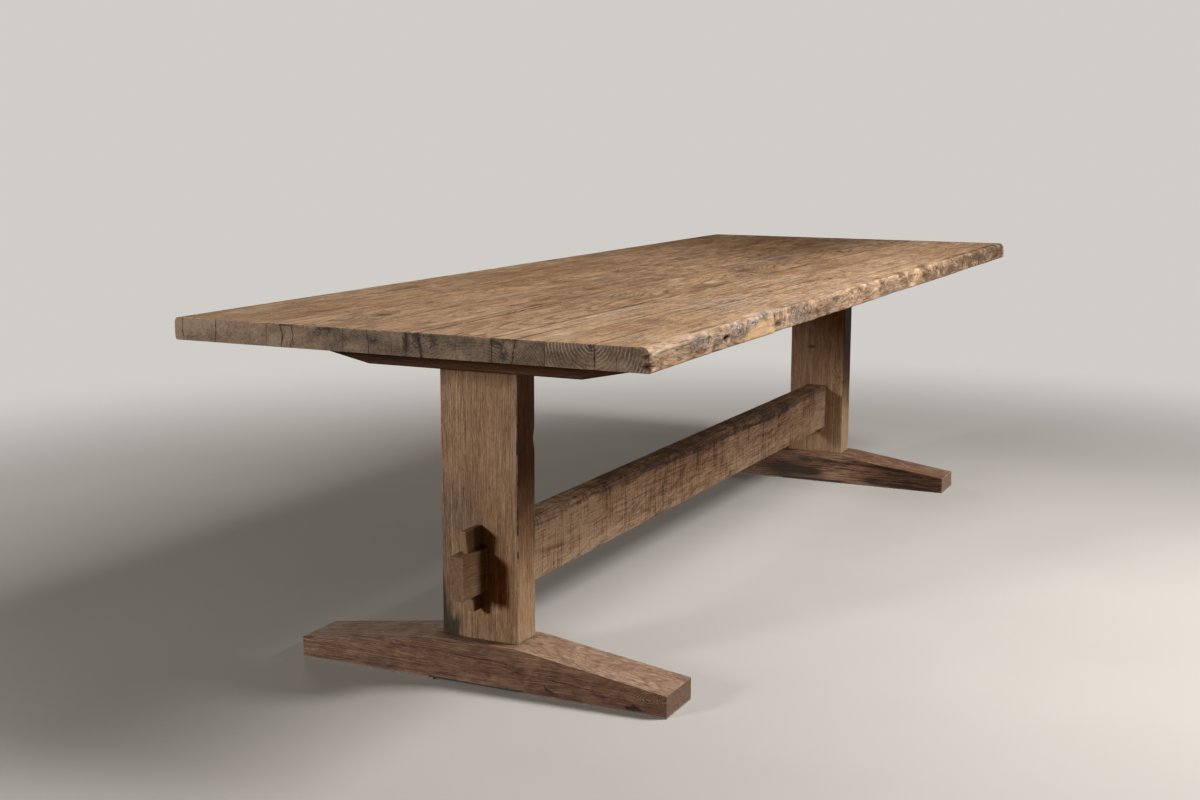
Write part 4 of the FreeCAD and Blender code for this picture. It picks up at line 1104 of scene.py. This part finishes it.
def stretcher():
    """The stretcher: a bar with a shouldered tenon at each end, slotted for its wedge."""
    low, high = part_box("stretcher")
    leg_low, leg_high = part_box("leg_left")
    shoulder, outer = -leg_high.x, -leg_low.x
    slot_in, slot_out = outer - 4 * MM, outer + 50.1 * MM
    levels = (STRETCHER_LEVEL - TENON[1], STRETCHER_LEVEL + TENON[1])
    steps = [0, shoulder, slot_in, slot_out, high.x]
    xs = graded([-p for p in steps[:0:-1]] + steps, 6 * MM)
    ys = graded([low.y, -TENON[0], -SLOT, SLOT, TENON[0], high.y], 4.5 * MM)
    zs = graded([low.z, *levels, high.z], 4.5 * MM)
    wood = Wood(
        "stretcher", (xs, ys, zs),
        ((-shoulder, low.y, low.z), (shoulder, high.y, high.z), True),
        ((low.x, -TENON[0], levels[0]), (high.x, TENON[0], levels[1]), True),
        ((slot_in, -SLOT, low.z), (slot_out, SLOT, high.z), False),
        ((-slot_out, -SLOT, low.z), (-slot_in, SLOT, high.z), False),
    )
    x, y, z = wood.rest.T
    out = np.abs(x)
    # the slot's outer wall leans with the wedge's taper
    lean = np.clip((out - slot_in) / (slot_out - slot_in), 0, 1)
    lean = lean * np.clip((high.x - out) / (high.x - slot_out), 0, 1)
    wood.points[:, 0] += np.sign(x) * (z - STRETCHER_LEVEL) * WEDGE_TAPER * lean
    sharp = smooth(out, shoulder - 16 * MM, shoulder - 5 * MM) * (out < shoulder + 2 * MM)
    wood.soften(14, 100, 1 - 0.9 * sharp)
    bar = out < shoulder - 1 * MM
    tip = out > outer + 2 * MM
    slot = (np.abs(y) < SLOT + 0.5 * MM) & (out > slot_in - 1 * MM) & (out < high.x - 1 * MM)
    depth = wood.waves((0.8, (3, 20, 16), 3, 101), (0.35, (22, 60, 40), 3, 102))
    wood.sink(depth * ((bar | tip) & ~slot))
    # a waney upper arris along the front
    crest = smooth(z, high.z - 16 * MM, high.z) * smooth(y, low.y + 16 * MM, low.y)
    crest = crest * smooth(out, shoulder - 5 * MM, shoulder - 50 * MM)
    crest = crest * wood.patchy(0.45, 0.9, (3.2, 0, 0), 3, 103)
    wood.points[:, 1] += 6 * MM * crest
    wood.points[:, 2] -= 5 * MM * crest
    # a dark band along the top with a wavering border, where the wane ran; its darkness is
    # partly painted shade, as the table top shaded it
    border = high.z - 27 * MM * (0.85 + 0.8 * wood.noise((5, 0, 0), 5, 105))
    band = smooth(z, border - 3 * MM, border + 2 * MM) * bar
    wood.tone += 0.28 * wood.noise((7, 14, 12), 3, 104) * (1 - band) - 0.85 * band
    # painted light: lighter low down and towards both ends, most at the near end, where more
    # lamp light fell
    wood.tone += 0.12 * smooth(z, 0.27, 0.20) + 0.15 * smooth(out, 0.5, 0.9)
    wood.tone += (0.62 * smooth(x, -0.4, -0.85) + 0.12 * smooth(x, 0.3, 0.9)) * bar
    # painted shade: the tenons' sides darker and yellower, as the leg shaded them; their sawn
    # ends a little lighter
    cut = smooth(out, high.x - 3 * MM, high.x)
    wood.tone += (1.4 * cut - 1.25) * tip
    wood.curl -= 0.55 * tip * (1 - cut)
    wood.planed += tip
    wood.finish(STRETCHER_OAK)


def wedge(side):
    """A tapered wedge, driven down through the tenon against the leg's face."""
    node = "wedge_" + side
    low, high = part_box(node)
    xs = graded([low.x, high.x], 4 * MM)
    ys = graded([low.y, high.y], 3 * MM, (1.0 * MM, 2.4 * MM))
    zs = graded([low.z, high.z], 4 * MM)
    wood = Wood(node, (xs, ys, zs), (low, high, True))
    x, _, z = wood.rest.T
    inner = high.x if side == "left" else low.x
    wide = WEDGE_FOOT + (WEDGE_TOP - WEDGE_FOOT) * (z - low.z) / (high.z - low.z)
    wood.points[:, 0] = inner + (x - inner) * wide / WEDGE_TOP
    wood.soften(9, 110)
    wood.tone += 0.2 * wood.noise((30, 30, 8), 3, 111)
    # painted light: the wedge's outer face lighter than its sides, which lie in shade
    across = np.abs(wood.points[:, 0] - inner)
    wood.tone += smooth(across, wide - 3 * MM, wide - 1 * MM)
    wood.finish(WEDGE_OAK, body=node, grain=2)


def dress(node, material):
    """Gives a CAD node that keeps its own shape its finish."""
    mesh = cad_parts[node].data
    mesh.materials.clear()
    mesh.materials.append(material)


for number, board in enumerate(BOARDS):
    top_board(number, board)
for side_name in SIDES:
    leg(side_name)
    foot(side_name)
    wedge(side_name)
stretcher()

FELT = felt()
ZINC = zinc()
for side_name in SIDES:
    dress("bearer_" + side_name, BEARER_OAK[side_name])
    dress("coach_screws_" + side_name, ZINC)
    dress("washers_" + side_name, ZINC)
    for half in ("back", "front"):
        dress(f"felt_{side_name}_{half}", FELT)
for number in range(1, len(BOARDS)):
    dress(f"board_tongue_{number}", TONGUE_OAK)


# ---------------------------------------------------------------- stage, lights, camera

PALE = colour(208, 205, 201)
FLOOR_BOUNCE = colour(106, 76, 41)
FLOOR_REACH = 40.0


def backdrop():
    """A pale floor. Seen from the camera it fades into the pale world far from the table;
    what it throws back on the table is duller, as a workshop floor would be."""
    corners = [(x * FLOOR_REACH, y * FLOOR_REACH, 0)
               for x, y in ((-1, -1), (1, -1), (1, 1), (-1, 1))]
    mesh = bpy.data.meshes.new("backdrop")
    mesh.from_pydata(corners, [], [(0, 1, 2, 3)])
    s = Shader(bpy.data.materials.new("backdrop_paint"))
    cloud = s.noise(s.place(), (0.9, 0.9, 0.9), 3.0)
    seen = s.ramp(cloud, *zip((0.3, 0.7), palette((160, 157, 153), (166, 163, 159))))
    paint = s.value("BsdfPrincipled", {
        "Base Color": s.mix(s.ray("Is Camera Ray"), FLOOR_BOUNCE, seen),
        "Roughness": 0.85, "Specular IOR Level": 0.15,
    })
    glow = s.value("Emission", {"Color": PALE, "Strength": 1.0})
    looked_at = s.larger(s.ray("Is Camera Ray"), s.ray("Is Glossy Ray"))
    looked_at = s.larger(looked_at, s.ray("Is Transmission Ray"))
    fade = s.step(s.length(s.place()), 1.6, 4.0, 0.02, 1.0) * looked_at
    mixed = s.value("MixShader", {0: fade, 1: paint, 2: glow})
    s.node("OutputMaterial", {"Surface": mixed})
    mesh.materials.append(s.made)
    placed("backdrop", mesh)


def lamp(name, place, aim, size, power, tint, shine=True):
    """A soft panel of this width and height; without shine it leaves no highlights."""
    data = bpy.data.lights.new(name, "AREA")
    data.shape = "RECTANGLE"
    data.size, data.size_y = size
    data.energy = power
    data.color = tint
    made = placed(name, data)
    made.location = place
    made.rotation_euler = (Vector(aim) - Vector(place)).to_track_quat("-Z", "Y").to_euler()
    made.visible_camera = False
    made.visible_glossy = shine


def camera():
    """The photograph's own viewpoint, worked out from the table's straight lines."""
    place = Vector((-3.9115, -1.6014, 1.1341))
    yaw, pitch, roll = 0.4471, -0.1667, 0.0026
    flat = math.cos(pitch)
    look = Vector((math.cos(yaw) * flat, math.sin(yaw) * flat, math.sin(pitch)))
    right = look.cross(Vector((0, 0, 1))).normalized()
    up = right.cross(look)
    turned = right * math.cos(roll) + up * math.sin(roll)
    lifted = up * math.cos(roll) - right * math.sin(roll)
    data = bpy.data.cameras.new("camera")
    data.sensor_width = 36.0
    data.lens = 48.136
    made = placed("camera", data)
    axes = Matrix((turned, lifted, -look)).transposed().to_4x4()
    made.matrix_world = Matrix.Translation(place) @ axes
    bpy.context.scene.camera = made


def studio_world():
    """Dim, even light all round, behind a pale background."""
    s = Shader(bpy.data.worlds.new("studio"))
    dim = s.value("Background", {"Color": colour(255, 206, 136), "Strength": 0.048})
    pale = s.value("Background", {"Color": PALE, "Strength": 1.0})
    seen = s.larger(s.ray("Is Camera Ray"), s.ray("Is Transmission Ray"))
    mixed = s.value("MixShader", {0: seen, 1: dim, 2: pale})
    s.node("OutputWorld", {"Surface": mixed})
    bpy.context.scene.world = s.made


backdrop()
lamp("right", (0.14, -2.67, 2.97), (-1.1, -0.1, 0.3), (0.95, 1.4), 272, (1.0, 0.985, 0.965))
lamp("left", (-6.27, 2.75, 1.95), (-1.1, 0.0, 0.3), (0.85, 0.85), 268, (1.0, 0.965, 0.925))
lamp("behind", (3.6, 4.4, 1.5), (0.0, 0.0, 0.35), (1.8, 1.2), 110, (1.0, 0.985, 0.96),
     shine=False)
camera()
studio_world()
bpy.context.scene.view_settings.view_transform = "Standard"
